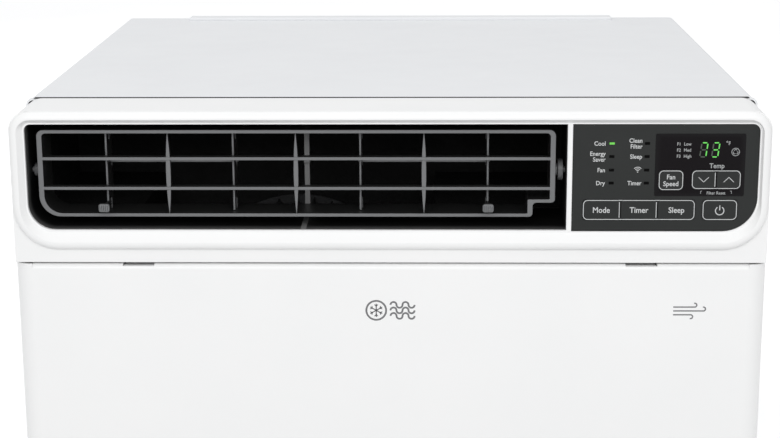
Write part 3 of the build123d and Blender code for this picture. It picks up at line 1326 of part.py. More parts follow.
# ---------------------------------------------------------------- inlet panel and filter
def inlet_panel():
    """A skin with rounded side returns and a bead along its top, on the hinge axis."""
    y1 = inlet_face + INLET_RETURN
    r = INLET_EDGE_R
    wall = INLET_WALL
    outer = outline([(-side, y1), (-side, inlet_face), (side, inlet_face), (side, y1)], [0, r, r, 0])
    inner = outline([(-side + wall, y1 + 1), (-side + wall, inlet_face + wall), (side - wall, inlet_face + wall),
                     (side - wall, y1 + 1)], [0, r - wall, r - wall, 0])
    skin = along_z(outer - inner, INLET_BOTTOM, inlet_axis_z)
    cap = along_z(outer - inner, inlet_axis_z, inlet_top)
    bead = rod_x(-side + r, side - r, inlet_axis_y, inlet_axis_z, BEAD_R)
    above = block(-side + r, side - r, inlet_face - 1, inlet_axis_y, inlet_axis_z, inlet_top + 1)
    nose = block(-side - 1, side + 1, inlet_face - 1, inlet_axis_y, inlet_axis_z, inlet_top + 1)
    nose -= rod_x(-side - 1, side + 1, inlet_axis_y, inlet_axis_z, BEAD_R + CAP_CORNER)
    panel = skin + (cap - above - nose) + bead
    panel += block(-side + wall, side - wall, inlet_face + wall - 0.5, inlet_face + 12, INLET_BOTTOM,
                   INLET_BOTTOM + wall)
    for sign in (-1, 1):
        gap = EYE_WIDTH / 2 + EYE_SIDE_PLAY
        x0, x1 = sorted((sign * (eye_x - gap), sign * (eye_x + gap)))
        panel -= block(x0, x1, inlet_face + BEAD_SKIN, inlet_axis_y + BEAD_R + 1, inlet_axis_z - BEAD_R - 1,
                       inlet_top + 1) - block(x0, x1, inlet_face, inlet_face + wall, 0, inlet_axis_z - BEAD_R)
        grip = INLET_PIN_GRIP + EYE_SIDE_PLAY
        panel -= rod_x(x0 - grip, x1 + grip, inlet_axis_y, inlet_axis_z, INLET_PIN_R)
    for z in evenly(INLET_BOTTOM + 20, inlet_axis_z - 22, INLET_SLOT_PITCH):
        for sign in (-1, 1):
            cut = sorted((sign * (side - wall - 1), sign * (side + 1)))
            panel -= block(*cut, inlet_face + r + 0.5, y1 - 2.5, z - INLET_SLOT_HEIGHT / 2,
                           z + INLET_SLOT_HEIGHT / 2)
    return panel


def inlet_hinge_pins():
    """Two steel pins, tight in the bead and running in the case's eyes."""
    reach = EYE_WIDTH / 2 + EYE_SIDE_PLAY + INLET_PIN_GRIP
    return [rod_x(sign * eye_x - reach, sign * eye_x + reach, inlet_axis_y, inlet_axis_z, INLET_PIN_R)
            for sign in (-1, 1)]


def filter_frame():
    """The filter's ribbed frame with the grip at its left end."""
    x0, x1 = filter_left, filter_right
    z0, z1 = filter_low, filter_top
    frame = block(x0, x1, filter_front, filter_rear, z0, z1)
    frame -= block(x0 + FILTER_BORDER, x1 - FILTER_BORDER, filter_front - 1, filter_rear + 1,
                   z0 + FILTER_BORDER, z1 - FILTER_BORDER)
    mid = (filter_front + filter_rear) / 2
    half = FILTER_RIB / 2
    for n in range(1, FILTER_COLUMNS):
        x = x0 + n * (x1 - x0) / FILTER_COLUMNS
        frame += block(x - half, x + half, filter_front + 0.5, mid - FILTER_MESH / 2, z0 + 2, z1 - 2)
    for n in range(1, FILTER_ROWS):
        z = z0 + n * (z1 - z0) / FILTER_ROWS
        frame += block(x0 + 2, x1 - 2, filter_front + 0.5, mid - FILTER_MESH / 2, z - half, z + half)
    grip = (z0 + z1) / 2
    for z in evenly(grip - FILTER_TAB, grip + FILTER_TAB, 6.0):
        frame -= block(x0 - 1, x0 + 0.8, filter_front - 1, filter_rear + 1, z - 1.2, z + 1.2)
    return frame


def filter_mesh():
    """The net in the filter's frame."""
    mid = (filter_front + filter_rear) / 2
    border = FILTER_BORDER
    return block(filter_left + border, filter_right - border, mid - FILTER_MESH / 2, mid + FILTER_MESH / 2,
                 filter_low + border, filter_top - border)


# ---------------------------------------------------------------- the assembly
def build_nodes():
    """Every node of the air conditioner, by name."""
    nodes = {
        "cabinet_shell": cabinet_shell(),
        "rear_top_rail": rear_top_rail(),
        "rear_grille": rear_grille(),
        "cabinet_screws": cabinet_screws(),
        "base_pan": base_pan(),
        "partition": partition(),
        "drain_pan": drain_pan(),
        "evaporator_coil": evaporator_coil(),
        "condenser_coil": condenser_coil(),
        "coil_return_bends": evaporator_bends() + condenser_bends(),
        "suction_line": suction_line(),
        "liquid_line": liquid_line(),
        "filter_drier": filter_drier(),
        "discharge_line": discharge_line(),
        "compressor": compressor(),
        "compressor_grommets": compressor_grommets(),
        "compressor_studs": compressor_studs(),
        "terminal_cover": terminal_cover(),
        "accumulator": accumulator(),
        "accumulator_strap": accumulator_strap(),
        "fan_motor": fan_motor(),
        "motor_bearings": motor_bearings(),
        "motor_bracket": motor_bracket(),
        "fan_shaft": fan_shaft(),
        "blower_wheel": blower_wheel(),
        "condenser_fan": condenser_fan(),
        "fan_shroud": fan_shroud(),
        "blower_scroll": blower_scroll(),
        "front_case": front_case(),
        "case_screws": case_screws(),
        "cord_gland": cord_gland(),
        "outlet_housing": outlet_housing(),
        "louver_frame": louver_frame(),
        "left_link_bar": link_bar(0),
        "right_link_bar": link_bar(2),
        "control_fascia": control_fascia(),
        "display_window": display_window(),
        "indicator_lamps": indicator_lamps(),
        "digit_display": digit_display(),
        "display_board": [display_board()] + display_board_posts(),
        "control_box": control_box(),
        "main_board": main_board(),
        "board_components": board_components(),
        "heat_sink": heat_sink(),
        "room_sensor": room_sensor(),
        "inlet_panel": inlet_panel(),
        "inlet_hinge_pins": inlet_hinge_pins(),
        "filter_frame": filter_frame(),
        "filter_mesh": filter_mesh(),
    }
    for n in range(4):
        nodes[f"vane_{n + 1}"] = vane(n)
    for name in KEYS:
        nodes[name] = key(name)
    return nodes


os.makedirs("parts", exist_ok=True)
for node, shape in build_nodes().items():
    solids = shape if isinstance(shape, list) else [shape]
    whole = Compound(children=[piece.solid() if len(piece.solids()) == 1 else piece for piece in solids])
    export_step(whole if len(solids) > 1 else solids[0], f"parts/{node}.step")
    print(node, sum(len(piece.solids()) for piece in solids))
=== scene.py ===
"""Finishes, prints and fine pieces of a window air conditioner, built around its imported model.

Everything is in metres: +X to the right seen from the room, +Y into the window opening, +Z up.
"""
from __future__ import annotations

import json
import logging
import math
from dataclasses import dataclass
from enum import Enum

import bmesh
import bpy
from mathutils import Matrix, Vector

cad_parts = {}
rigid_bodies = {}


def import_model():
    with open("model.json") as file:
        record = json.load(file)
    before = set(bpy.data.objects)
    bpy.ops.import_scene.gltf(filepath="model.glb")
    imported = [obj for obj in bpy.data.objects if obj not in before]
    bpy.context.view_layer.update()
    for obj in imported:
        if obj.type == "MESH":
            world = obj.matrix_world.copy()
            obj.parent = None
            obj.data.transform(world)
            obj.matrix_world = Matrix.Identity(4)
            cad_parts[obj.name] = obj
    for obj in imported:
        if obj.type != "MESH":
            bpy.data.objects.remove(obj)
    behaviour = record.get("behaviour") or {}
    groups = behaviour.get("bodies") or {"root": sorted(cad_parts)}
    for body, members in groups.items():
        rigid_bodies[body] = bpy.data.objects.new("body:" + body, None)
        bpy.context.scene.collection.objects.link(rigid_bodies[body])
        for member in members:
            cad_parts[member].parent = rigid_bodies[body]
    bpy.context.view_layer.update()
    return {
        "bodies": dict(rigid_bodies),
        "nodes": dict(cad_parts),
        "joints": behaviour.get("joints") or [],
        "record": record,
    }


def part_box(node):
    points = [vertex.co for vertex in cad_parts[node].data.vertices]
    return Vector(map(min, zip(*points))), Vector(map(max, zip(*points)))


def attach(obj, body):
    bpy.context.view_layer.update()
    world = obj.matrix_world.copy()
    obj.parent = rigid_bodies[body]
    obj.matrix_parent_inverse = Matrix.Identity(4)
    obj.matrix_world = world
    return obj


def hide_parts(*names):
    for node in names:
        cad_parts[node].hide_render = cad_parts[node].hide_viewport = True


LOG = logging.getLogger("window_air_conditioner")
MM = 0.001
Node = bpy.types.Node
Material = bpy.types.Material
Piece = bpy.types.Object
BMesh = bmesh.types.BMesh
Color = tuple[float, float, float]
Point = tuple[float, float, float]
# Materials made so far, by the name of their finish.
BUILT: dict[str, Material] = {}
# The part of 0 to 1 that most of a noise's values lie in.
NOISE_SPAN = (0.3, 0.7)
# A grain's relief as a share of its size, and a patch of wear as a share of a patch of tone.
RELIEF_SHARE = 0.4
WEAR_SHARE = 0.35
BEVEL_SAMPLES = 4
# The colour mix node's two colours and its result, by socket number.
MIX_FIRST, MIX_SECOND, MIX_RESULT = 6, 7, 2


class Grain(Enum):
    """How a surface looks at close range."""

    MOULDED = "moulded"
    PAINT = "paint"
    BRUSHED = "brushed"
    SPANGLE = "spangle"
    CAST = "cast"


class Way(Enum):
    """Which edge of its place a line of lettering is set against."""

    LEFT = "LEFT"
    CENTER = "CENTER"
    RIGHT = "RIGHT"


# How many finer layers each grain's noise has; brushing is also drawn out along X.
GRAIN_DETAIL = {Grain.MOULDED: 3.0, Grain.PAINT: 1.0, Grain.BRUSHED: 2.0, Grain.CAST: 6.0}
BRUSH_STRETCH = (0.03, 1.0, 1.0)


# Materials
class Nodes:
    """A short way to write a material's node tree."""

    def __init__(self, name: str) -> None:
        """Starts an empty tree with a Principled shader on its output.

        Args:
            name: the finish's name; BUILT keeps the material under it.
        """
        self.material = bpy.data.materials.new(f"{name}_finish")
        BUILT[name] = self.material
        self.material.use_nodes = True
        self.tree = self.material.node_tree
        self.tree.nodes.clear()
        self.shader = self.add("BsdfPrincipled")
        output = self.add("OutputMaterial")
        self.join(self.shader, "BSDF", output, "Surface")
        self.coordinates = self.add("TexCoord")

    def add(self, kind: str, **settings: object) -> Node:
        """Adds a node and sets its properties.

        Args:
            kind: the node's type name, less its "ShaderNode".
            settings: properties of the node by name.

        Returns:
            The node.
        """
        node = self.tree.nodes.new(f"ShaderNode{kind}")
        for name, value in settings.items():
            setattr(node, name, value)
        return node

    def join(self, start: Node, out: str, end: Node, into: str) -> None:
        """Links one node's output to another's input, by socket names."""
        self.tree.links.new(start.outputs[out], end.inputs[into])

    def stand(self, node: Node) -> None:
        """Puts a node on the object's own coordinates."""
        self.join(self.coordinates, "Object", node, "Vector")

    def noise(self, size: float, detail: float = 2.0, stretch: Point | None = None) -> Node:
        """Adds a noise on the object's own coordinates.

        Args:
            size: the pattern's size in metres.
            detail: how many finer layers it has.
            stretch: how much finer it is along each axis.

        Returns:
            The noise node.
        """
        texture = self.add("TexNoise")
        texture.inputs["Scale"].default_value = 1.0 / size
        texture.inputs["Detail"].default_value = detail
        if stretch is None:
            self.stand(texture)
            return texture
        mapping = self.add("Mapping")
        mapping.inputs["Scale"].default_value = stretch
        self.stand(mapping)
        self.join(mapping, "Vector", texture, "Vector")
        return texture

    def blend(self, factor: Node, out: str, low: Color, high: Color,
              span: tuple[float, float] = (0.35, 0.65)) -> Node:
        """Adds a colour ramp between two colours.

        Args:
            factor: the node whose value drives it.
            out: that node's output.
            low: colour at the span's start.
            high: colour at the span's end.
            span: where the change starts and ends.

        Returns:
            The ramp node.
        """
        ramp = self.add("ValToRGB")
        first, last = ramp.color_ramp.elements
        first.position, last.position = span
        first.color, last.color = (*low, 1.0), (*high, 1.0)
        self.join(factor, out, ramp, "Fac")
        return ramp

    def tint(self, source: Node) -> None:
        """Joins a node's colour to the shader's base colour."""
        self.join(source, "Color", self.shader, "Base Color")

    def roughen(self, size: float, low: float, high: float, detail: float = 3.0) -> None:
        """Lets the roughness drift between two values.

        Args:
            size: the drift's size in metres.
            low: the lowest roughness.
            high: the highest.
            detail: how many finer layers it has.
        """
        spread = self.add("MapRange")
        limits = (*NOISE_SPAN, low, high)
        for name, value in zip(("From Min", "From Max", "To Min", "To Max"), limits):
            spread.inputs[name].default_value = value
        self.join(self.noise(size, detail), "Fac", spread, "Value")
        self.join(spread, "Result", self.shader, "Roughness")

    def soften(self, radius: float) -> Node:
        """Adds a bevel that rounds the edges in the shading only.

        Args:
            radius: the rounding in metres.

        Returns:
            The bevel node.
        """
        bevel = self.add("Bevel", samples=BEVEL_SAMPLES)
        bevel.inputs["Radius"].default_value = radius
        return bevel

    def bump(self, source: Node, out: str, strength: float, height: float,
             under: Node | None = None) -> Node:
        """Adds a bump and joins it to the shader's normal.

        Args:
            source: the height pattern.
            out: its output.
            strength: share of the full effect.
            height: relief in metres.
            under: a node whose Normal the bump stands on.

        Returns:
            The bump node.
        """
        bump = self.add("Bump")
        bump.inputs["Strength"].default_value = strength
        bump.inputs["Distance"].default_value = height
        self.join(source, out, bump, "Height")
        if under is not None:
            self.join(under, "Normal", bump, "Normal")
        self.join(bump, "Normal", self.shader, "Normal")
        return bump

    def set(self, **values: object) -> None:
        """Sets the shader's own sockets; a socket's spaces are underscores here."""
        for name, value in values.items():
            self.shader.inputs[name.replace("_", " ")].default_value = value


@dataclass(frozen=True)
class Finish:
    """A surface that varies softly in tone and gloss and has a fine grain."""

    name: str
    color: Color
    shade: Color
    gloss: tuple[float, float] = (0.32, 0.42)
    metallic: float = 0.0
    grain: Grain = Grain.MOULDED
    grain_size: float = 0.0006
    relief: float = 0.15
    patch: float = 0.09
    specular: float = 0.5
    coat: float = 0.0
    soft_edge: float = 0.0

    def material(self) -> Material:
        """Builds the material, or returns the one built before."""
        if self.name in BUILT:
            return BUILT[self.name]
        nodes = Nodes(self.name)
        grain, out = self.pattern(nodes)
        if self.grain is Grain.SPANGLE:
            ramp = nodes.blend(grain, out, self.shade, self.color, (0.1, 0.9))
        else:
            ramp = nodes.blend(nodes.noise(self.patch, 3.0), "Fac", self.shade, self.color)
        nodes.tint(ramp)
        nodes.roughen(self.patch * WEAR_SHARE, *self.gloss, 4.0)
        nodes.set(Metallic=self.metallic, Specular_IOR_Level=self.specular, Coat_Weight=self.coat)
        under = nodes.soften(self.soft_edge) if self.soft_edge > 0 else None
        nodes.bump(grain, out, self.relief, self.grain_size * RELIEF_SHARE, under)
        return nodes.material

    def pattern(self, nodes: Nodes) -> tuple[Node, str]:
        """Adds the grain's pattern.

        Args:
            nodes: the tree it is added to.

        Returns:
            The node and the output that holds the pattern.
        """
        if self.grain is Grain.SPANGLE:
            cells = nodes.add("TexVoronoi")
            cells.inputs["Scale"].default_value = 1.0 / self.grain_size
            nodes.stand(cells)
            split = nodes.add("SeparateColor")
            nodes.join(cells, "Color", split, "Color")
            return split, "Red"
        stretch = BRUSH_STRETCH if self.grain is Grain.BRUSHED else None
        return nodes.noise(self.grain_size, GRAIN_DETAIL[self.grain], stretch), "Fac"


@dataclass(frozen=True)
class LouverFinish:
    """Grey plastic with painted shade: faces that look away from the room fade to near black, standing in
    for the shade inside the frame.
    """

    name: str = "louver_grey"
    front: Color = (0.155, 0.158, 0.162)
    # Near-black colour painted as the shade on the frame's inner walls.
    shaded_inside: Color = (0.018, 0.018, 0.018)
    turn: tuple[float, float] = (0.15, 0.7)
    soft_edge: float = 0.7 * MM

    def material(self) -> Material:
        """Builds the material."""
        nodes = Nodes(self.name)
        split = nodes.add("SeparateXYZ")
        nodes.join(nodes.coordinates, "Normal", split, "Vector")
        facing = nodes.add("Math", operation="MULTIPLY")
        facing.inputs[1].default_value = -1.0
        nodes.join(split, "Y", facing, "Value")
        # Painted shade: grey on faces towards the room, near black on faces that look away.
        nodes.tint(nodes.blend(facing, "Value", self.shaded_inside, self.front, self.turn))
        nodes.roughen(0.03, 0.34, 0.42)
        nodes.set(Specular_IOR_Level=0.45)
        nodes.bump(nodes.noise(0.0005, 3.0), "Fac", 0.12, 0.0002, nodes.soften(self.soft_edge))
        return nodes.material


@dataclass(frozen=True)
class HousingFinish:
    """Black plastic with painted light that pales it towards the room, where light reaches into the
    opening, and a light grey band at the centre post.
    """

    name: str = "outlet_black"
    deep: Color = (0.006, 0.006, 0.006)
    # Paler tone painted at the lip, standing in for light that reaches into the opening.
    lip: Color = (0.085, 0.085, 0.085)
    post: Color = (0.20, 0.20, 0.20)
    lip_front: float = -275.5 * MM
    lip_depth: float = 14.0 * MM
    post_x: float = -68.0 * MM
    post_half: float = 2.2 * MM

    def material(self) -> Material:
        """Builds the material."""
        nodes = Nodes(self.name)
        split = nodes.add("SeparateXYZ")
        nodes.stand(split)
        depth = nodes.add("MapRange", interpolation_type="SMOOTHSTEP")
        for name, value in (("From Min", self.lip_front + self.lip_depth), ("From Max", self.lip_front)):
            depth.inputs[name].default_value = value
        nodes.join(split, "Y", depth, "Value")
        # Painted light: from black deep in the opening to paler at the lip.
        painted_light_ramp = nodes.blend(depth, "Result", self.deep, self.lip, (0.0, 1.0))
        post = nodes.add("Math", operation="COMPARE")
        post.inputs[1].default_value, post.inputs[2].default_value = self.post_x, self.post_half
        nodes.join(split, "X", post, "Value")
        mix = nodes.add("Mix", data_type="RGBA")
        link = nodes.tree.links.new
        link(post.outputs[0], mix.inputs[0])
        link(painted_light_ramp.outputs["Color"], mix.inputs[MIX_FIRST])
        mix.inputs[MIX_SECOND].default_value = (*self.post, 1)
        link(mix.outputs[MIX_RESULT], nodes.shader.inputs["Base Color"])
        nodes.roughen(0.03, 0.45, 0.55)
        nodes.set(Specular_IOR_Level=0.3)
        nodes.bump(nodes.noise(0.0006, 3.0), "Fac", 0.15, 0.0002)
        return nodes.material


@dataclass(frozen=True)
class BoardFinish:
    """Green solder mask with lighter tracks under it."""

    name: str = "circuit_board"
    mask: Color = (0.012, 0.085, 0.03)
    track: Color = (0.03, 0.16, 0.06)
    track_pitch: float = 0.009
    track_share: float = 0.035

    def material(self) -> Material:
        """Builds the material."""
        nodes = Nodes(self.name)
        bricks = nodes.add("TexBrick")
        mapping = nodes.add("Mapping")
        mapping.inputs["Rotation"].default_value = (math.radians(90), 0, 0)
        nodes.stand(mapping)
        nodes.join(mapping, "Vector", bricks, "Vector")
        bricks.inputs["Scale"].default_value = 1.0 / self.track_pitch
        bricks.inputs["Mortar Size"].default_value = self.track_share
        for name, color in (("Color1", self.mask), ("Color2", self.mask), ("Mortar", self.track)):
            bricks.inputs[name].default_value = (*color, 1)
        nodes.tint(bricks)
        nodes.set(Roughness=0.35)
        nodes.bump(bricks, "Fac", 0.4, 0.0001)
        return nodes.material


@dataclass(frozen=True)
class PartsFinish:
    """Board components: black and tan bodies, told apart by cells larger than each one."""

    name: str = "board_parts"
    dark: Color = (0.02, 0.02, 0.022)
    tan: Color = (0.45, 0.30, 0.12)
    cell: float = 0.05

    def material(self) -> Material:
        """Builds the material."""
        nodes = Nodes(self.name)
        cells = nodes.add("TexVoronoi")
        cells.inputs["Scale"].default_value = 1.0 / self.cell
        nodes.stand(cells)
        split = nodes.add("SeparateColor")
        nodes.join(cells, "Color", split, "Color")
        nodes.tint(nodes.blend(split, "Red", self.dark, self.tan, (0.62, 0.66)))
        nodes.set(Roughness=0.45)
        nodes.bump(nodes.noise(0.0008), "Fac", 0.2, 0.0001)
        return nodes.material


@dataclass(frozen=True)
class SmokedGlass:
    """The display's dark window, a little lighter towards its edges, with a hard gloss."""

    name: str = "smoked_window"
    middle: Color = (0.0048, 0.0036, 0.0046)
    edge: Color = (0.009, 0.0084, 0.0092)
    centre: Point = (0.2428, -0.2775, 0.3353)
    half: Point = (0.0351, 0.01, 0.0250)
    edge_span: tuple[float, float] = (0.86, 1.0)

    def material(self) -> Material:
        """Builds the material."""
        nodes = Nodes(self.name)
        mapping = nodes.add("Mapping", vector_type="TEXTURE")
        mapping.inputs["Location"].default_value = self.centre
        mapping.inputs["Scale"].default_value = self.half
        nodes.stand(mapping)
        split = nodes.add("SeparateXYZ")
        nodes.join(mapping, "Vector", split, "Vector")
        sides = []
        for axis in ("X", "Z"):
            size = nodes.add("Math", operation="ABSOLUTE")
            nodes.join(split, axis, size, "Value")
            sides.append(size)
        far = nodes.add("Math", operation="MAXIMUM")
        nodes.tree.links.new(sides[0].outputs[0], far.inputs[0])
        nodes.tree.links.new(sides[1].outputs[0], far.inputs[1])
        nodes.tint(nodes.blend(far, "Value", self.middle, self.edge, self.edge_span))
        nodes.set(Roughness=0.5, Specular_IOR_Level=0.09)
        nodes.bump(nodes.noise(0.03), "Fac", 0.05, 0.0002)
        return nodes.material


@dataclass(frozen=True)
class Glow:
    """A lit or unlit light: its glow is a little uneven, as behind a diffuser."""

    name: str
    body: Color
    light: Color
    strength: float
    roughness: float = 0.3
    light_dip: float = 0.82
    body_dip: float = 0.8

    def material(self) -> Material:
        """Builds the material, or returns the one built before."""
        if self.name in BUILT:
            return BUILT[self.name]
        nodes = Nodes(self.name)
        spots = nodes.noise(0.002, 2.0)
        dim = tuple(part * self.light_dip for part in self.light)
        dull = tuple(part * self.body_dip for part in self.body)
        nodes.join(nodes.blend(spots, "Fac", dim, self.light), "Color", nodes.shader, "Emission Color")
        nodes.tint(nodes.blend(spots, "Fac", dull, self.body))
        nodes.set(Emission_Strength=self.strength, Roughness=self.roughness)
        return nodes.material


WHITE_CASE = Finish("white_case", (0.885, 0.885, 0.88), (0.872, 0.874, 0.87), (0.30, 0.38),
                    grain_size=0.0007, relief=0.10, soft_edge=0.0006)
CABINET_PAINT = Finish("cabinet_paint", (0.80, 0.81, 0.822), (0.787, 0.797, 0.81), (0.30, 0.40),
                       grain=Grain.PAINT, grain_size=0.0016, relief=0.18, soft_edge=0.0006)
GRILLE_PAINT = Finish("grille_paint", (0.66, 0.68, 0.69), (0.62, 0.64, 0.65), (0.36, 0.48),
                      grain=Grain.PAINT, grain_size=0.0014, relief=0.25, soft_edge=0.0004)
FASCIA_GREY = Finish("fascia_grey", (0.020, 0.0215, 0.021), (0.018, 0.0195, 0.019), (0.50, 0.60),
                     grain_size=0.0005, relief=0.15, specular=0.22, soft_edge=0.0003)
GALVANISED = Finish("galvanised", (0.52, 0.53, 0.54), (0.40, 0.41, 0.42), (0.30, 0.46), metallic=0.9,
                    grain=Grain.SPANGLE, grain_size=0.012, relief=0.06, soft_edge=0.0005)
BRIGHT_STEEL = Finish("bright_steel", (0.60, 0.60, 0.60), (0.50, 0.50, 0.51), (0.18, 0.30), metallic=1.0,
                      grain=Grain.BRUSHED, grain_size=0.0004, relief=0.2)
FIN_METAL = Finish("fin_metal", (0.62, 0.64, 0.66), (0.48, 0.50, 0.52), (0.30, 0.48), metallic=0.95,
                   grain=Grain.BRUSHED, grain_size=0.0007, relief=0.4, patch=0.05)
COPPER = Finish("copper", (0.72, 0.33, 0.17), (0.42, 0.19, 0.10), (0.22, 0.42), metallic=1.0,
                grain=Grain.CAST, grain_size=0.003, relief=0.12, patch=0.03)
BLACK_ENAMEL = Finish("black_enamel", (0.012, 0.012, 0.013), (0.018, 0.018, 0.018), (0.18, 0.30),
                      grain=Grain.PAINT, grain_size=0.0025, relief=0.3, coat=0.3)
MOTOR_SHELL = Finish("motor_shell", (0.30, 0.31, 0.32), (0.22, 0.23, 0.24), (0.34, 0.48), metallic=0.8,
                     grain=Grain.CAST, grain_size=0.0015, relief=0.3)
RUBBER = Finish("rubber", (0.018, 0.018, 0.018), (0.028, 0.027, 0.026), (0.60, 0.78),
                grain=Grain.CAST, grain_size=0.0012, relief=0.3)
DARK_MOULDED = Finish("dark_moulded", (0.035, 0.036, 0.038), (0.026, 0.027, 0.028), (0.48, 0.60),
                      grain_size=0.0008, relief=0.25, specular=0.35)
# Near-black foam; also used as painted shade in the strip in the gap behind the front case.
BLACK_FOAM_AND_GAP_SHADE = Finish("black_foam_and_gap_shade", (0.011, 0.011, 0.011), (0.007, 0.007, 0.007), (0.7, 0.85),
                    grain=Grain.CAST, grain_size=0.003, relief=0.5, specular=0.2)
FILTER_PLASTIC = Finish("filter_plastic", (0.62, 0.66, 0.68), (0.57, 0.61, 0.63), (0.35, 0.45),
                        relief=0.15, soft_edge=0.0004)
NET_THREAD = Finish("net_thread", (0.16, 0.19, 0.22), (0.11, 0.14, 0.17), (0.5, 0.65),
                    grain=Grain.CAST, grain_size=0.0006, relief=0.3)
SENSOR = Finish("sensor", (0.65, 0.42, 0.26), (0.50, 0.30, 0.18), (0.25, 0.38), metallic=1.0,
                grain=Grain.BRUSHED, grain_size=0.0004)
INK = Finish("light_ink", (0.60, 0.61, 0.61), (0.55, 0.56, 0.56), (0.5, 0.6), relief=0.1)
FAINT_INK = Finish("faint_ink", (0.40, 0.41, 0.41), (0.36, 0.37, 0.37), (0.5, 0.6), relief=0.1)
EMBLEM_INK = Finish("emblem_ink", (0.16, 0.16, 0.165), (0.14, 0.14, 0.145), (0.35, 0.45), relief=0.1)
LIT_DIGIT = Glow("lit_digit", (0.04, 0.20, 0.04), (0.20, 1.0, 0.13), 0.62)
DARK_DIGIT = Glow("dark_digit", (0.045, 0.055, 0.045), (0.05, 0.08, 0.05), 0.25)
LIT_LAMP = Glow("lit_lamp", (0.05, 0.20, 0.04), (0.20, 0.85, 0.08), 0.62)
DARK_LAMP = Finish("dark_lamp", (0.002, 0.002, 0.002), (0.001, 0.001, 0.001), (0.4, 0.5), specular=0.04)

# The finish of each record slot: first those that share their slot's name.
SLOT_FINISHES = {finish.name: finish for finish in (
    WHITE_CASE, CABINET_PAINT, GRILLE_PAINT, LouverFinish(), FASCIA_GREY, GALVANISED, BRIGHT_STEEL,
    COPPER, BLACK_ENAMEL, MOTOR_SHELL, RUBBER, FILTER_PLASTIC, SENSOR)}
SLOT_FINISHES |= {
    "black_plastic": HousingFinish(), "display_glass": SmokedGlass(), "lamp_lens": FASCIA_GREY,
    "board": BoardFinish(), "components": PartsFinish(), "fins": FIN_METAL,
    "moulded_grey": DARK_MOULDED, "filter_net": NET_THREAD,
}
# The blower scroll is near-black foam, darker than its record slot; the dark colour also stands in for the
# shade deep in the outlet.
NODE_FINISHES = {"blower_scroll": BLACK_FOAM_AND_GAP_SHADE}


# Mesh helpers
def place_object(name: str, data: bpy.types.ID) -> Piece:
    """Makes an object of its data and links it to the scene."""
    made = bpy.data.objects.new(name, data)
    bpy.context.scene.collection.objects.link(made)
    return made


def finish_piece(bm: BMesh, name: str, body: str, finish: Finish | Glow,
                 smooth: bool = False) -> Piece:
    """Turns a bmesh into a piece that rides on a body.

    Args:
        bm: the mesh, in its place; it is freed.
        name: the piece's name.
        body: the body it moves with.
        finish: its finish.
        smooth: True if its faces are shaded smooth.

    Returns:
        The piece.
    """
    bmesh.ops.recalc_face_normals(bm, faces=bm.faces[:])
    mesh = bpy.data.meshes.new(name)
    bm.to_mesh(mesh)
    bm.free()
    for face in mesh.polygons:
        face.use_smooth = smooth
    piece = place_object(name, mesh)
    mesh.materials.append(finish.material())
    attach(piece, body)
    LOG.info("%s rides on %s, %d faces", name, body, len(mesh.polygons))
    return piece


def box_between(bm: BMesh, low: Point, high: Point) -> list:
    """Adds a box.

    Args:
        bm: the mesh it is added to.
        low: its lowest corner.
        high: its highest corner.

    Returns:
        Its vertices.
    """
    made = bmesh.ops.create_cube(bm, size=1.0)
    low, high = Vector(low), Vector(high)
    place = Matrix.Translation((low + high) / 2) @ Matrix.Diagonal((*(high - low), 1.0))
    bmesh.ops.transform(bm, matrix=place, verts=made["verts"])
    return made["verts"]


def repeat_along(bm: BMesh, verts: list, step: Vector, count: int) -> None:
    """Repeats a shape along a line.

    Args:
        bm: the mesh it is in.
        verts: the shape's vertices.
        step: the way from one copy to the next.
        count: how many there are in the end.
    """
    edges = {edge for vert in verts for edge in vert.link_edges}
    faces = {face for vert in verts for face in vert.link_faces}
    bmesh.ops.spin(bm, geom=[*verts, *edges, *faces], cent=(0, 0, 0), axis=(0, 0, 1), dvec=step,
                   angle=0.0, steps=count - 1, use_duplicate=True)


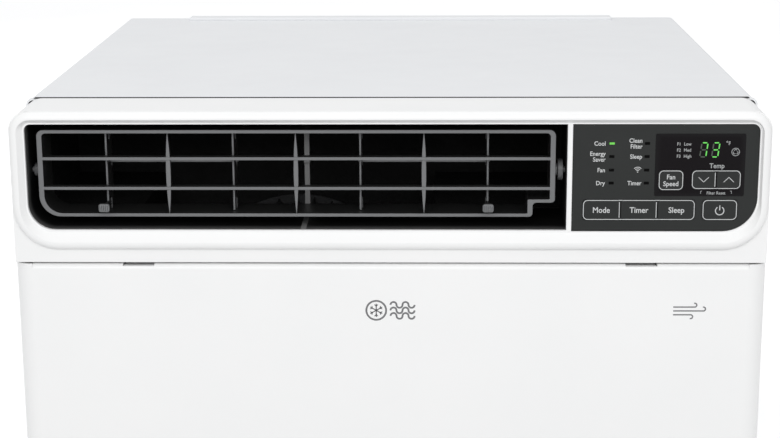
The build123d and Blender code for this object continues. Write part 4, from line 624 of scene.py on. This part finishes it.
class Print:
    """Ink on an upright face: flat shapes in X and Z that look towards -Y, made thin bodies at the end."""

    INK_DEPTH = 0.06 * MM
    CAP_SHARE = 0.70
    CORNER_STEPS = 7

    def __init__(self, face_y: float) -> None:
        """Starts an empty print.

        Args:
            face_y: Y of the surface that carries the ink.
        """
        self.bm = bmesh.new()
        self.y = face_y - self.INK_DEPTH / 2

    def plate(self, x: float, z: float, width: float, height: float, radius: float = 0.0,
              turn: float = 0.0) -> list:
        """Adds a rectangle about a place, turned and with rounded corners.

        Returns:
            Its faces.
        """
        made = bmesh.ops.create_grid(self.bm, x_segments=1, y_segments=1, size=0.5)
        place = (Matrix.Translation((x, self.y, z)) @ Matrix.Rotation(turn, 4, "Y")
                 @ Matrix.Rotation(math.radians(90), 4, "X") @ Matrix.Diagonal((width, height, 1.0, 1.0)))
        bmesh.ops.transform(self.bm, matrix=place, verts=made["verts"])
        faces = list(made["verts"][0].link_faces)
        if radius > 0:
            before = set(self.bm.faces) - set(faces)
            bmesh.ops.bevel(self.bm, geom=made["verts"], offset=radius, offset_type="OFFSET",
                            segments=self.CORNER_STEPS, profile=0.5, affect="VERTICES", material=-1)
            faces = [face for face in self.bm.faces if face not in before]
        return faces

    def frame(self, x0: float, x1: float, z0: float, z1: float, radius: float, stroke: float) -> list:
        """Adds a rounded outline and returns its faces."""
        faces = self.plate((x0 + x1) / 2, (z0 + z1) / 2, x1 - x0, z1 - z0, radius)
        ring = bmesh.ops.inset_region(self.bm, faces=faces, thickness=stroke, use_even_offset=True,
                                       use_boundary=True)
        bmesh.ops.delete(self.bm, geom=faces, context="FACES_ONLY")
        return ring["faces"]

    def clip(self, point: Vector, outward: Vector) -> None:
        """Cuts off what lies beyond a plane.

        Args:
            point: a point of the plane.
            outward: the way its cut side looks.
        """
        geom = [*self.bm.verts, *self.bm.edges, *self.bm.faces]
        bmesh.ops.bisect_plane(self.bm, geom=geom, plane_co=point, plane_no=outward, clear_outer=True)

    def arc(self, x: float, z: float, radius: float, stroke: float, start: float, sweep: float,
            steps: int = 24) -> None:
        """Adds part of a ring; angles are in degrees, from +X towards +Z."""
        turn = math.radians(start)
        way = Vector((math.cos(turn), 0, math.sin(turn)))
        centre = Vector((x, self.y, z))
        ends = [self.bm.verts.new(centre + way * (radius + side * stroke / 2)) for side in (-1, 1)]
        edge = self.bm.edges.new(ends)
        bmesh.ops.spin(self.bm, geom=[*ends, edge], cent=centre, axis=(0, -1, 0), dvec=(0, 0, 0),
                       angle=math.radians(sweep), steps=steps, use_merge=abs(sweep) >= 360)

    def text(self, words: str, x: float, z: float, height: float, way: Way = Way.CENTER,
             squeeze: float = 0.92, weight: float = 0.014) -> None:
        """Adds a line of lettering.

        Args:
            words: what it says.
            x: its left, middle or right, as way says.
            z: the middle of its capitals.
            height: height of its capitals.
            way: how it is set at x.
            squeeze: its width as a share of the letters' own.
            weight: how much bolder it is, as a share of its size.
        """
        curve = bpy.data.curves.new("lettering", "FONT")
        curve.body, curve.align_x = words, way.value
        curve.size = height / self.CAP_SHARE
        curve.offset = weight * curve.size
        curve.resolution_u = 3
        holder = place_object("lettering", curve)
        bpy.context.view_layer.update()
        letters = bpy.data.meshes.new_from_object(
            holder.evaluated_get(bpy.context.evaluated_depsgraph_get()))
        letters.transform(Matrix.Translation((x, self.y, z - height / 2)) @ Matrix.Diagonal(
            (squeeze, 1, 1, 1)) @ Matrix.Rotation(math.radians(90), 4, "X"))
        self.bm.from_mesh(letters)
        bpy.data.objects.remove(holder)
        bpy.data.curves.remove(curve)
        bpy.data.meshes.remove(letters)

    def piece(self, name: str, body: str, finish: Finish | Glow,
              slot: str | None = None) -> Piece:
        """Gives the ink its thickness and makes it a piece on a body."""
        bmesh.ops.remove_doubles(self.bm, verts=self.bm.verts[:], dist=1e-6)
        for face in self.bm.faces:
            face.normal_update()
        turned = [face for face in self.bm.faces if face.normal.y > 0]
        bmesh.ops.reverse_faces(self.bm, faces=turned)
        bmesh.ops.solidify(self.bm, geom=self.bm.faces[:], thickness=self.INK_DEPTH)
        return finish_piece(self.bm, name, body, finish)


# Control panel
# A digit's segments: side, height in half digits above its middle, and whether it is upright.
SEGMENTS = {"a": (0, 1.0, False), "b": (1, 0.5, True), "c": (1, -0.5, True), "d": (0, -1.0, False),
            "e": (-1, -0.5, True), "f": (-1, 0.5, True), "g": (0, 0.0, False)}


@dataclass(frozen=True)
class KeyFace:
    """Where one key's cap is, in millimetres right of and below the panel's top left corner."""

    body: str
    left: float
    right: float
    low: float
    high: float


@dataclass
class ControlPanel:
    """Everything printed and lit on the key panel."""

    left: float = 143.5 * MM
    top: float = 368.0 * MM
    face: float = -277.5 * MM
    key_face: float = -277.8 * MM
    stroke: float = 0.55 * MM
    inset: float = 0.35 * MM
    divider_margin: float = 2.0 * MM
    corner: float = 3.6 * MM
    cap_corner: float = 3.0 * MM
    lower_keys: tuple[KeyFace, ...] = (
        KeyFace("mode_button", 8.7, 38.0, 77.0, 60.4), KeyFace("timer_button", 38.8, 66.9, 77.0, 60.4),
        KeyFace("sleep_button", 67.7, 96.7, 77.0, 60.4))
    power_key: KeyFace = KeyFace("power_button", 102.4, 129.7, 77.0, 60.4)
    fan_key: KeyFace = KeyFace("fan_speed_button", 67.4, 86.9, 52.9, 36.7)
    temp_keys: tuple[KeyFace, ...] = (
        KeyFace("cooler_button", 93.2, 112.0, 52.0, 36.7),
        KeyFace("warmer_button", 112.8, 131.6, 52.0, 36.7))
    lamp_rows: tuple[float, ...] = (15.5, 25.9, 36.7, 47.1)
    label_edges: tuple[float, float] = (25.7, 54.2)
    lamp_columns: tuple[float, float] = (30.6, 58.0)
    line_step: float = 4.6 * MM
    display_middle: float = 112.6
    digit_lefts: tuple[float, float] = (101.9, 111.1)

    def at(self, right: float, down: float) -> tuple[float, float]:
        """X and Z of a place given in millimetres from the panel's top left corner."""
        return self.left + right * MM, self.top - down * MM

    def middle(self, key: KeyFace) -> tuple[float, float]:
        """X and Z of the middle of a key's cap."""
        return self.at((key.left + key.right) / 2, (key.low + key.high) / 2)

    def key_outline(self, keys: tuple[KeyFace, ...], index: int) -> Print:
        """Draws one key's share of the outline that runs round a group of keys.

        Args:
            keys: the group, from left to right.
            index: which key of the group.

        Returns:
            The print, with the divider at the key's right if it isn't the last.
        """
        first, last, key = keys[0], keys[-1], keys[index]
        ink = Print(self.key_face)
        x0, z0 = self.at(first.left, first.low)
        x1, z1 = self.at(last.right, last.high)
        inset = self.inset
        ink.frame(x0 + inset, x1 - inset, z0 + inset, z1 - inset, self.corner, self.stroke)
        if index > 0:
            self.clip_to_cap(ink, key, -1)
        if index < len(keys) - 1:
            self.clip_to_cap(ink, key, 1)
            divider = self.at(key.right, 0)[0] - self.stroke * 0.95
            ink.plate(divider, (z0 + z1) / 2, self.stroke, z1 - z0 - 2 * self.divider_margin)
        return ink

    def clip_to_cap(self, ink: Print, key: KeyFace, side: int) -> None:
        """Cuts a print back to one side of its key's rounded cap.

        Args:
            ink: the print.
            key: the key.
            side: 1 for the cap's right side, -1 for its left.
        """
        edge, low = self.at(key.right if side > 0 else key.left, key.low)
        high = self.at(0, key.high)[1]
        reach = self.cap_corner - 0.05 * MM
        for level, z in ((-1, low), (1, high)):
            centre = Vector((edge - side * self.cap_corner, ink.y, z - level * self.cap_corner))
            for step in range(6):
                angle = math.radians(15 * step)
                outward = Vector((side * math.cos(angle), 0, level * math.sin(angle)))
                ink.clip(centre + outward * reach, outward)

    def bridges(self) -> None:
        """Makes the short bits of outline on the panel between neighbouring keys."""
        ink = Print(self.face)
        near, far = (self.cap_corner - math.sqrt(self.cap_corner ** 2 - (self.cap_corner - depth) ** 2)
                     for depth in (self.inset + self.stroke, self.inset))
        for keys in (self.lower_keys, self.temp_keys):
            for first, second in zip(keys, keys[1:]):
                x0, z0 = self.at(first.right, first.low)
                x1, z1 = self.at(second.left, first.high)
                for level, z in ((-1, z0), (1, z1)):
                    middle = z - level * (self.inset + self.stroke / 2)
                    for vert in ink.plate((x0 + x1) / 2, middle, x1 - x0, self.stroke)[0].verts:
                        outer = (vert.co.z - middle) * level > 0
                        grow = (far if outer else near) - 0.1 * MM
                        vert.co.x += math.copysign(grow, vert.co.x - (x0 + x1) / 2)
        ink.piece("outline_bridges", "chassis", INK)

    def word_keys(self) -> None:
        """Makes the prints of the three keys that carry one word."""
        for index, word in enumerate(("Mode", "Timer", "Sleep")):
            key = self.lower_keys[index]
            ink = self.key_outline(self.lower_keys, index)
            ink.text(word, *self.middle(key), 4.5 * MM)
            ink.piece(key.body.replace("button", "key_print"), key.body, INK)

    def power_sign(self) -> None:
        """Makes the power key's print: a ring with a gap at its top and an upright stroke in it."""
        stroke, gap = 0.75 * MM, 32
        ink = self.key_outline((self.power_key,), 0)
        x, z = self.at((self.power_key.left + self.power_key.right) / 2, 69.0)
        ink.arc(x, z - 0.3 * MM, 3.3 * MM, stroke, 90 + gap, 360 - 2 * gap)
        ink.plate(x, z + 2.0 * MM, stroke, 3.9 * MM)
        ink.piece("power_key_print", self.power_key.body, INK)

    def fan_words(self) -> None:
        """Makes the fan speed key's print: a word over and a word under its middle."""
        height, rise = 3.8 * MM, 2.7 * MM
        ink = self.key_outline((self.fan_key,), 0)
        x, z = self.middle(self.fan_key)
        ink.text("Fan", x, z + rise, height)
        ink.text("Speed", x, z - rise, height)
        ink.piece("fan_speed_key_print", self.fan_key.body, INK)

    def temp_arrows(self) -> None:
        """Makes the prints of the two temperature keys: a wide arrowhead down and one up."""
        reach, length, stroke, slope = 1.95 * MM, 5.6 * MM, 0.5 * MM, math.radians(44)
        for index, lean in enumerate((1, -1)):
            key = self.temp_keys[index]
            ink = self.key_outline(self.temp_keys, index)
            x, z = self.middle(key)
            for side in (-1, 1):
                ink.plate(x + side * reach, z, length, stroke, 0, -side * lean * slope)
            ink.piece(key.body.replace("button", "key_print"), key.body, INK)

    def labels(self) -> None:
        """Makes the words at the lamps' left and the radio sign, a dot under three arcs."""
        ink = Print(self.face)
        rows = ((("Cool",), ("Clean", "Filter")), (("Energy", "Saver"), ("Sleep",)), (("Fan",), ()),
                (("Dry",), ("Timer",)))
        for row, columns in zip(self.lamp_rows, rows):
            for edge, words in zip(self.label_edges, columns):
                x, z = self.at(edge, row)
                start = z + (len(words) - 1) * self.line_step / 2
                for line, word in enumerate(words):
                    ink.text(word, x, start - line * self.line_step, 3.4 * MM, Way.RIGHT)
        x, z = self.at(self.label_edges[1] - 3.2, self.lamp_rows[2] + 1.6)
        for radius in (1.3, 2.6, 3.9):
            ink.arc(x, z, radius * MM, 0.5 * MM, 45, 90, 10)
        ink.plate(x, z, 0.9 * MM, 0.9 * MM, 0.4 * MM)
        ink.piece("panel_print", "chassis", INK)

    def display_words(self) -> None:
        """Makes the fan speeds, the degree sign, the words and the fan sign on the display."""
        glass = Print(self.face)
        for line, (code, word) in enumerate((("F1", "Low"), ("F2", "Med"), ("F3", "High"))):
            x, z = self.at(80.9, 15.9 + 4.85 * line)
            glass.text(code, x, z, 2.5 * MM, Way.LEFT)
            glass.text(word, x + 5.4 * MM, z, 2.5 * MM, Way.LEFT)
        x, z = self.at(119.3, 15.3)
        glass.arc(x + 0.5 * MM, z + 1.1 * MM, 0.55 * MM, 0.35 * MM, 0, 360, 12)
        glass.text("F", x + 1.5 * MM, z, 2.8 * MM, Way.LEFT)
        glass.text("Temp", *self.at(self.display_middle, 33.2), 3.8 * MM)
        glass.text("Filter Reset", *self.at(self.display_middle, 55.0), 2.4 * MM)
        for side in (-1, 1):
            x, z = self.at(self.display_middle + side * 12.0, 54.6)
            glass.plate(x, z, 0.35 * MM, 2.2 * MM)
            glass.plate(x - side * 0.5 * MM, z + 1.1 * MM, 1.2 * MM, 0.35 * MM)
        self.fan_sign(glass)
        glass.piece("display_print", "chassis", FAINT_INK)

    def fan_sign(self, glass: Print) -> None:
        """Draws the fan sign: a ring round three curved blades."""
        stroke, reach = 0.45 * MM, 1.1 * MM
        x, z = self.at(126.6, 22.3)
        glass.arc(x, z, 3.0 * MM, stroke, 0, 360, 28)
        for blade in range(3):
            angle = math.radians(90 + 120 * blade)
            middle = x + reach * math.cos(angle), z + reach * math.sin(angle)
            glass.arc(*middle, 0.95 * MM, stroke, math.degrees(angle) - 80, 190, 10)

    def lamps(self) -> None:
        """Makes the flat lens in front of each lamp; the first one is lit."""
        lit_height, dark_height = 1.7 * MM, 2.2 * MM
        for column, right in enumerate(self.lamp_columns):
            for row, down in enumerate(self.lamp_rows):
                lit = column == 0 and row == 0
                lens = Print(self.face - 0.12 * MM)
                lens.plate(*self.at(right, down), 4.0 * MM, lit_height if lit else dark_height, 0.3 * MM)
                lens.piece(f"lamp_lens_{column + 1}_{row + 1}", "chassis", LIT_LAMP if lit else DARK_LAMP)

    def digits(self) -> None:
        """Makes the two seven-segment digits, lit and unlit."""
        lit, dark = Print(self.face), Print(self.face)
        wide, half, stroke = 4.7 * MM, 5.6 * MM, 0.95 * MM
        lean = math.radians(7)
        for left, shown in zip(self.digit_lefts, ("abc", "abcdg")):
            x, z = self.at(left, 20.6)
            for name, (side, level, upright) in SEGMENTS.items():
                ink = lit if name in shown else dark
                rise = level * half
                length = half - 1.5 * stroke if upright else wide - 1.3 * stroke
                turn = math.radians(-90) + lean if upright else 0.0
                middle = x + side * wide / 2 + rise * math.tan(lean)
                ink.plate(middle, z + rise, length, stroke, 0.45 * stroke, turn)
        lit.piece("lit_segments", "chassis", LIT_DIGIT)
        dark.piece("unlit_segments", "chassis", DARK_DIGIT)

    def build(self) -> None:
        """Makes the whole panel's prints."""
        self.word_keys()
        self.power_sign()
        self.fan_words()
        self.temp_arrows()
        self.bridges()
        self.labels()
        self.display_words()
        self.lamps()
        self.digits()


# Inlet panel
@dataclass
class InletEmblems:
    """Two plain grey signs on the inlet panel: a snowflake badge with air waves, and a breeze sign."""

    face: float = -277.5 * MM
    badge_x: float = -10.5 * MM
    height: float = 216.5 * MM
    badge_r: float = 7.9 * MM
    stroke: float = 1.5 * MM
    breeze_x: float = 240.0 * MM
    breeze_stroke: float = 1.1 * MM
    curl_r: float = 1.6 * MM

    def badge(self, ink: Print) -> None:
        """Draws the ring with a six-armed snowflake."""
        ink.arc(self.badge_x, self.height, self.badge_r, self.stroke, 0, 360, 40)
        for arm in range(6):
            turn = math.radians(60 * arm + 30)
            way = Vector((math.cos(turn), 0, math.sin(turn)))
            middle = way * 2.8 * MM
            ink.plate(self.badge_x + middle.x, self.height + middle.z, 5.4 * MM, 0.95 * MM, 0, -turn)
            tip = way * 3.6 * MM
            for side in (-1, 1):
                branch = turn + side * math.radians(50)
                x = self.badge_x + tip.x + math.cos(branch) * 0.8 * MM
                z = self.height + tip.z + math.sin(branch) * 0.8 * MM
                ink.plate(x, z, 2.2 * MM, 0.75 * MM, 0, -branch)

    def waves(self, ink: Print) -> None:
        """Draws three waves of air beside the badge."""
        for row in (-1, 0, 1):
            z = self.height + row * 4.6 * MM
            for turn in range(4):
                x = self.badge_x + (13.8 + 4.8 * turn) * MM
                rise = 1 if turn % 2 == 0 else -1
                ink.arc(x, z, 2.4 * MM, self.stroke, 0 if rise > 0 else 180, 180, 12)

    def breeze(self, ink: Print) -> None:
        """Draws three strokes of unequal length that curl at their ends."""
        for row, (length, curl) in enumerate(((17.0, 1), (24.0, 1), (14.0, -1))):
            z = self.height + (3.2 - 3.2 * row) * MM
            start = self.breeze_x - 14.0 * MM
            ink.plate(start + length * MM / 2, z, length * MM, self.breeze_stroke)
            ink.arc(start + length * MM, z + curl * self.curl_r, self.curl_r, self.breeze_stroke,
                    -90 * curl, 200 * curl, 12)

    def build(self) -> None:
        """Makes both signs."""
        ink = Print(self.face)
        self.badge(ink)
        self.waves(ink)
        ink.piece("inlet_badge", "inlet", EMBLEM_INK)
        ink = Print(self.face)
        self.breeze(ink)
        ink.piece("inlet_breeze_sign", "inlet", EMBLEM_INK)


@dataclass
class GapShadeStrip:
    """A thin black strip on the cabinet's hem behind the front case: painted shade for the dark gap line
    between case and cabinet.
    """

    half: float = 290.0 * MM
    front: float = -218.2 * MM
    rear: float = -212.0 * MM
    low: float = 377.62 * MM
    top: float = 377.78 * MM

    def build(self) -> None:
        """Makes the strip."""
        bm = bmesh.new()
        # The black strip stands in for the shadow in the gap.
        box_between(bm, (-self.half, self.front, self.low), (self.half, self.rear, self.top))
        finish_piece(bm, "case_gap_shade", "chassis", BLACK_FOAM_AND_GAP_SHADE)


# Coils and filter
@dataclass
class FinnedCoil:
    """A coil of thin upright fins on copper tubes, between two end plates."""

    name: str
    node: str
    tube_start: float
    rows: int
    row_pitch: float = 25.0 * MM
    fin_pitch: float = 1.7 * MM
    fin_thick: float = 0.22 * MM
    plate: float = 1.5 * MM
    tube_r: float = 4.0 * MM
    flange: float = 6.0 * MM
    lip: float = 0.8 * MM
    gap: float = 0.2 * MM

    def build(self) -> None:
        """Makes the fins, the tubes and the end plates, in place of the plain coil."""
        low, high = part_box(self.node)
        bm = bmesh.new()
        start = low.x + self.plate + self.fin_pitch
        first = box_between(bm, (start, low.y + self.gap, low.z + self.gap),
                            (start + self.fin_thick, high.y - self.gap, high.z - self.gap))
        count = int((high.x - low.x - 2 * self.plate - 2 * self.fin_pitch) / self.fin_pitch) + 1
        repeat_along(bm, first, Vector((self.fin_pitch, 0, 0)), count)
        fins = finish_piece(bm, f"{self.name}_fins", "chassis", FIN_METAL)
        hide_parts(self.node)
        bm = bmesh.new()
        quarter = (high.y - low.y) / 4
        turn = Matrix.Rotation(math.radians(90), 4, "Y")
        for y in (low.y + quarter, high.y - quarter):
            for row in range(self.rows):
                z = low.z + self.tube_start + row * self.row_pitch
                place = Matrix.Translation(((low.x + high.x) / 2, y, z)) @ turn
                bmesh.ops.create_cone(bm, cap_ends=True, segments=20, radius1=self.tube_r,
                                      radius2=self.tube_r, depth=high.x - low.x, matrix=place)
        finish_piece(bm, f"{self.name}_tubes", "chassis", COPPER, smooth=True)
        bm = bmesh.new()
        for x, inward in ((low.x, 1), (high.x, -1)):
            side = sorted((x, x + inward * self.plate))
            box_between(bm, (side[0], low.y, low.z), (side[1], high.y, high.z))
            flange = sorted((x, x + inward * self.flange))
            for y in ((low.y, low.y + self.lip), (high.y - self.lip, high.y)):
                box_between(bm, (flange[0], y[0], low.z), (flange[1], y[1], high.z))
        finish_piece(bm, f"{self.name}_plates", "chassis", GALVANISED)


@dataclass
class FilterNet:
    """The woven net in the filter's frame."""

    node: str = "filter_mesh"
    pitch: float = 2.0 * MM
    thread: float = 0.42 * MM

    def build(self) -> None:
        """Makes the upright and the level threads, in place of the plain sheet."""
        low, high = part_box(self.node)
        middle = (low.y + high.y) / 2
        bm = bmesh.new()
        half = self.thread / 2
        upright = box_between(bm, (low.x, middle - half, low.z), (low.x + self.thread, middle, high.z))
        repeat_along(bm, upright, Vector((self.pitch, 0, 0)), int((high.x - low.x) / self.pitch))
        level = box_between(bm, (low.x, middle, low.z), (high.x, middle + half, low.z + self.thread))
        repeat_along(bm, level, Vector((0, 0, self.pitch)), int((high.z - low.z) / self.pitch))
        net = finish_piece(bm, "filter_net_threads", "filter", NET_THREAD)
        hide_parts(self.node)


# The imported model's own pieces
class PackedPieces:
    """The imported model's nodes, each in the finish of its record slot."""

    def __init__(self, frame: dict) -> None:
        """Keeps the nodes and which slot each one has.
        """
        self.nodes = frame["nodes"]
        self.slots = {s["node"]: s["material_slot"] for s in frame["record"]["subparts"]}

    def dress(self) -> None:
        """Gives every node its finish."""
        built = {name: finish.material() for name, finish in SLOT_FINISHES.items()}
        for name, node in self.nodes.items():
            finish = NODE_FINISHES.get(name)
            material = finish.material() if finish else built[self.slots[name]]
            if not node.data.materials:
                node.data.materials.append(material)
            for index in range(len(node.data.materials)):
                node.data.materials[index] = material
            LOG.info("%s is dressed in %s", name, material.name)


# Studio
@dataclass
class Camera:
    """The view from the room, a little right of the middle and above."""

    place: Point = (0.0322, -1.6227, 0.6281)
    down: float = 14.034
    left: float = 1.335
    roll: float = -0.281
    lens: float = 81.15

    def build(self) -> None:
        """Makes the camera and gives it to the scene."""
        data = bpy.data.cameras.new("camera")
        data.lens, data.sensor_width, data.clip_end = self.lens, 36.0, 200.0
        camera = place_object("camera", data)
        yaw, pitch, roll = (math.radians(a) for a in (self.left, self.down, self.roll))
        level = math.cos(pitch)
        ahead = Vector((-math.sin(yaw) * level, math.cos(yaw) * level, -math.sin(pitch)))
        right = Vector((math.cos(yaw), math.sin(yaw), 0))
        up = right.cross(ahead)
        tilted = right * math.cos(roll) + up * math.sin(roll)
        upright = up * math.cos(roll) - right * math.sin(roll)
        turn = Matrix((tilted, upright, -ahead)).transposed().to_4x4()
        camera.matrix_world = Matrix.Translation(self.place) @ turn
        bpy.context.scene.camera = camera


@dataclass
class Studio:
    """A pale floor, a white surround that is dimmer below, and soft lights."""

    sky: float = 0.75
    ground: float = 0.66
    floor_half: float = 40.0
    floor_glow: float = 0.30
    horizon: float = 0.35
    key_power: float = 24.0
    top_share: float = 0.2
    rear_share: float = 0.45

    def surround(self) -> None:
        """Makes the world: white to the eye, and brighter from above than from below as a light."""
        world = bpy.data.worlds.new("surround")
        bpy.context.scene.world = world
        world.use_nodes = True
        tree = world.node_tree
        tree.nodes.clear()
        kinds = ("TexCoord", "SeparateXYZ", "MapRange", "Background", "Background", "LightPath",
                 "MixShader", "OutputWorld")
        coordinates, split, rise, light, seen, path, mix, output = (
            tree.nodes.new(f"ShaderNode{kind}") for kind in kinds)
        for name, value in (("From Min", -self.horizon), ("From Max", self.horizon),
                            ("To Min", self.ground), ("To Max", self.sky)):
            rise.inputs[name].default_value = value
        link = tree.links.new
        link(coordinates.outputs["Generated"], split.inputs[0])
        link(split.outputs["Z"], rise.inputs["Value"])
        link(rise.outputs["Result"], light.inputs["Strength"])
        light.inputs["Color"].default_value = (0.985, 0.99, 1.0, 1.0)
        seen.inputs["Color"].default_value = (1.0, 1.0, 1.0, 1.0)
        link(path.outputs["Is Camera Ray"], mix.inputs["Fac"])
        link(light.outputs[0], mix.inputs[1])
        link(seen.outputs[0], mix.inputs[2])
        link(mix.outputs[0], output.inputs["Surface"])

    def floor(self) -> None:
        """Makes the floor; its own bounce is left to the surround."""
        bm = bmesh.new()
        bmesh.ops.create_grid(bm, x_segments=1, y_segments=1, size=self.floor_half)
        mesh = bpy.data.meshes.new("floor")
        bm.to_mesh(mesh)
        bm.free()
        floor = place_object("floor", mesh)
        nodes = Nodes("pale_floor")
        nodes.tint(nodes.blend(nodes.noise(0.6, 2.0), "Fac", (0.90, 0.90, 0.90), (0.92, 0.92, 0.92)))
        nodes.set(Roughness=0.8, Specular_IOR_Level=0.1, Emission_Color=(1, 1, 1, 1),
              Emission_Strength=self.floor_glow)
        mesh.materials.append(nodes.material)
        floor.visible_diffuse = False

    def lamp(self, name: str, place: Point, aim: Point, size: tuple[float, float], power: float,
             shine: bool = True) -> None:
        """Makes one soft rectangular light.

        Args:
            name: its name.
            place: where it stands.
            aim: what it points at.
            size: its width and height.
            power: in watts.
            shine: False if glossy surfaces don't mirror it.
        """
        data = bpy.data.lights.new(name, "AREA")
        data.shape, data.energy = "RECTANGLE", power
        data.size, data.size_y = size
        light = place_object(name, data)
        light.location = place
        light.visible_glossy = shine
        light.rotation_euler = (Vector(aim) - Vector(place)).to_track_quat("-Z", "Y").to_euler()

    def build(self) -> None:
        """Makes the surround, the floor, the lights and the view's plain tones."""
        self.surround()
        self.floor()
        self.lamp("front_light", (0.0, -2.3, 1.35), (0.0, -0.28, 0.3), (2.4, 1.0), self.key_power)
        self.lamp("top_light", (0.0, 0.3, 2.2), (0.0, 0.0, 0.3), (1.8, 1.8),
                  self.key_power * self.top_share)
        self.lamp("rear_light", (-1.4, 2.2, 1.3), (0.0, 0.2, 0.2), (1.4, 1.0),
                  self.key_power * self.rear_share, shine=False)
        view = bpy.context.scene.view_settings
        view.view_transform, view.look = "Standard", "None"


def main() -> None:
    """Builds the air conditioner's pieces and its studio."""
    logging.basicConfig(level=logging.INFO, format="%(message)s")
    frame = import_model()
    PackedPieces(frame).dress()
    Camera().build()
    Studio().build()
    ControlPanel().build()
    InletEmblems().build()
    GapShadeStrip().build()
    FinnedCoil("evaporator", "evaporator_coil", 29.5 * MM, 9).build()
    FinnedCoil("condenser", "condenser_coil", 12.5 * MM, 13).build()
    FilterNet().build()


if __name__ == "__main__":
    main()
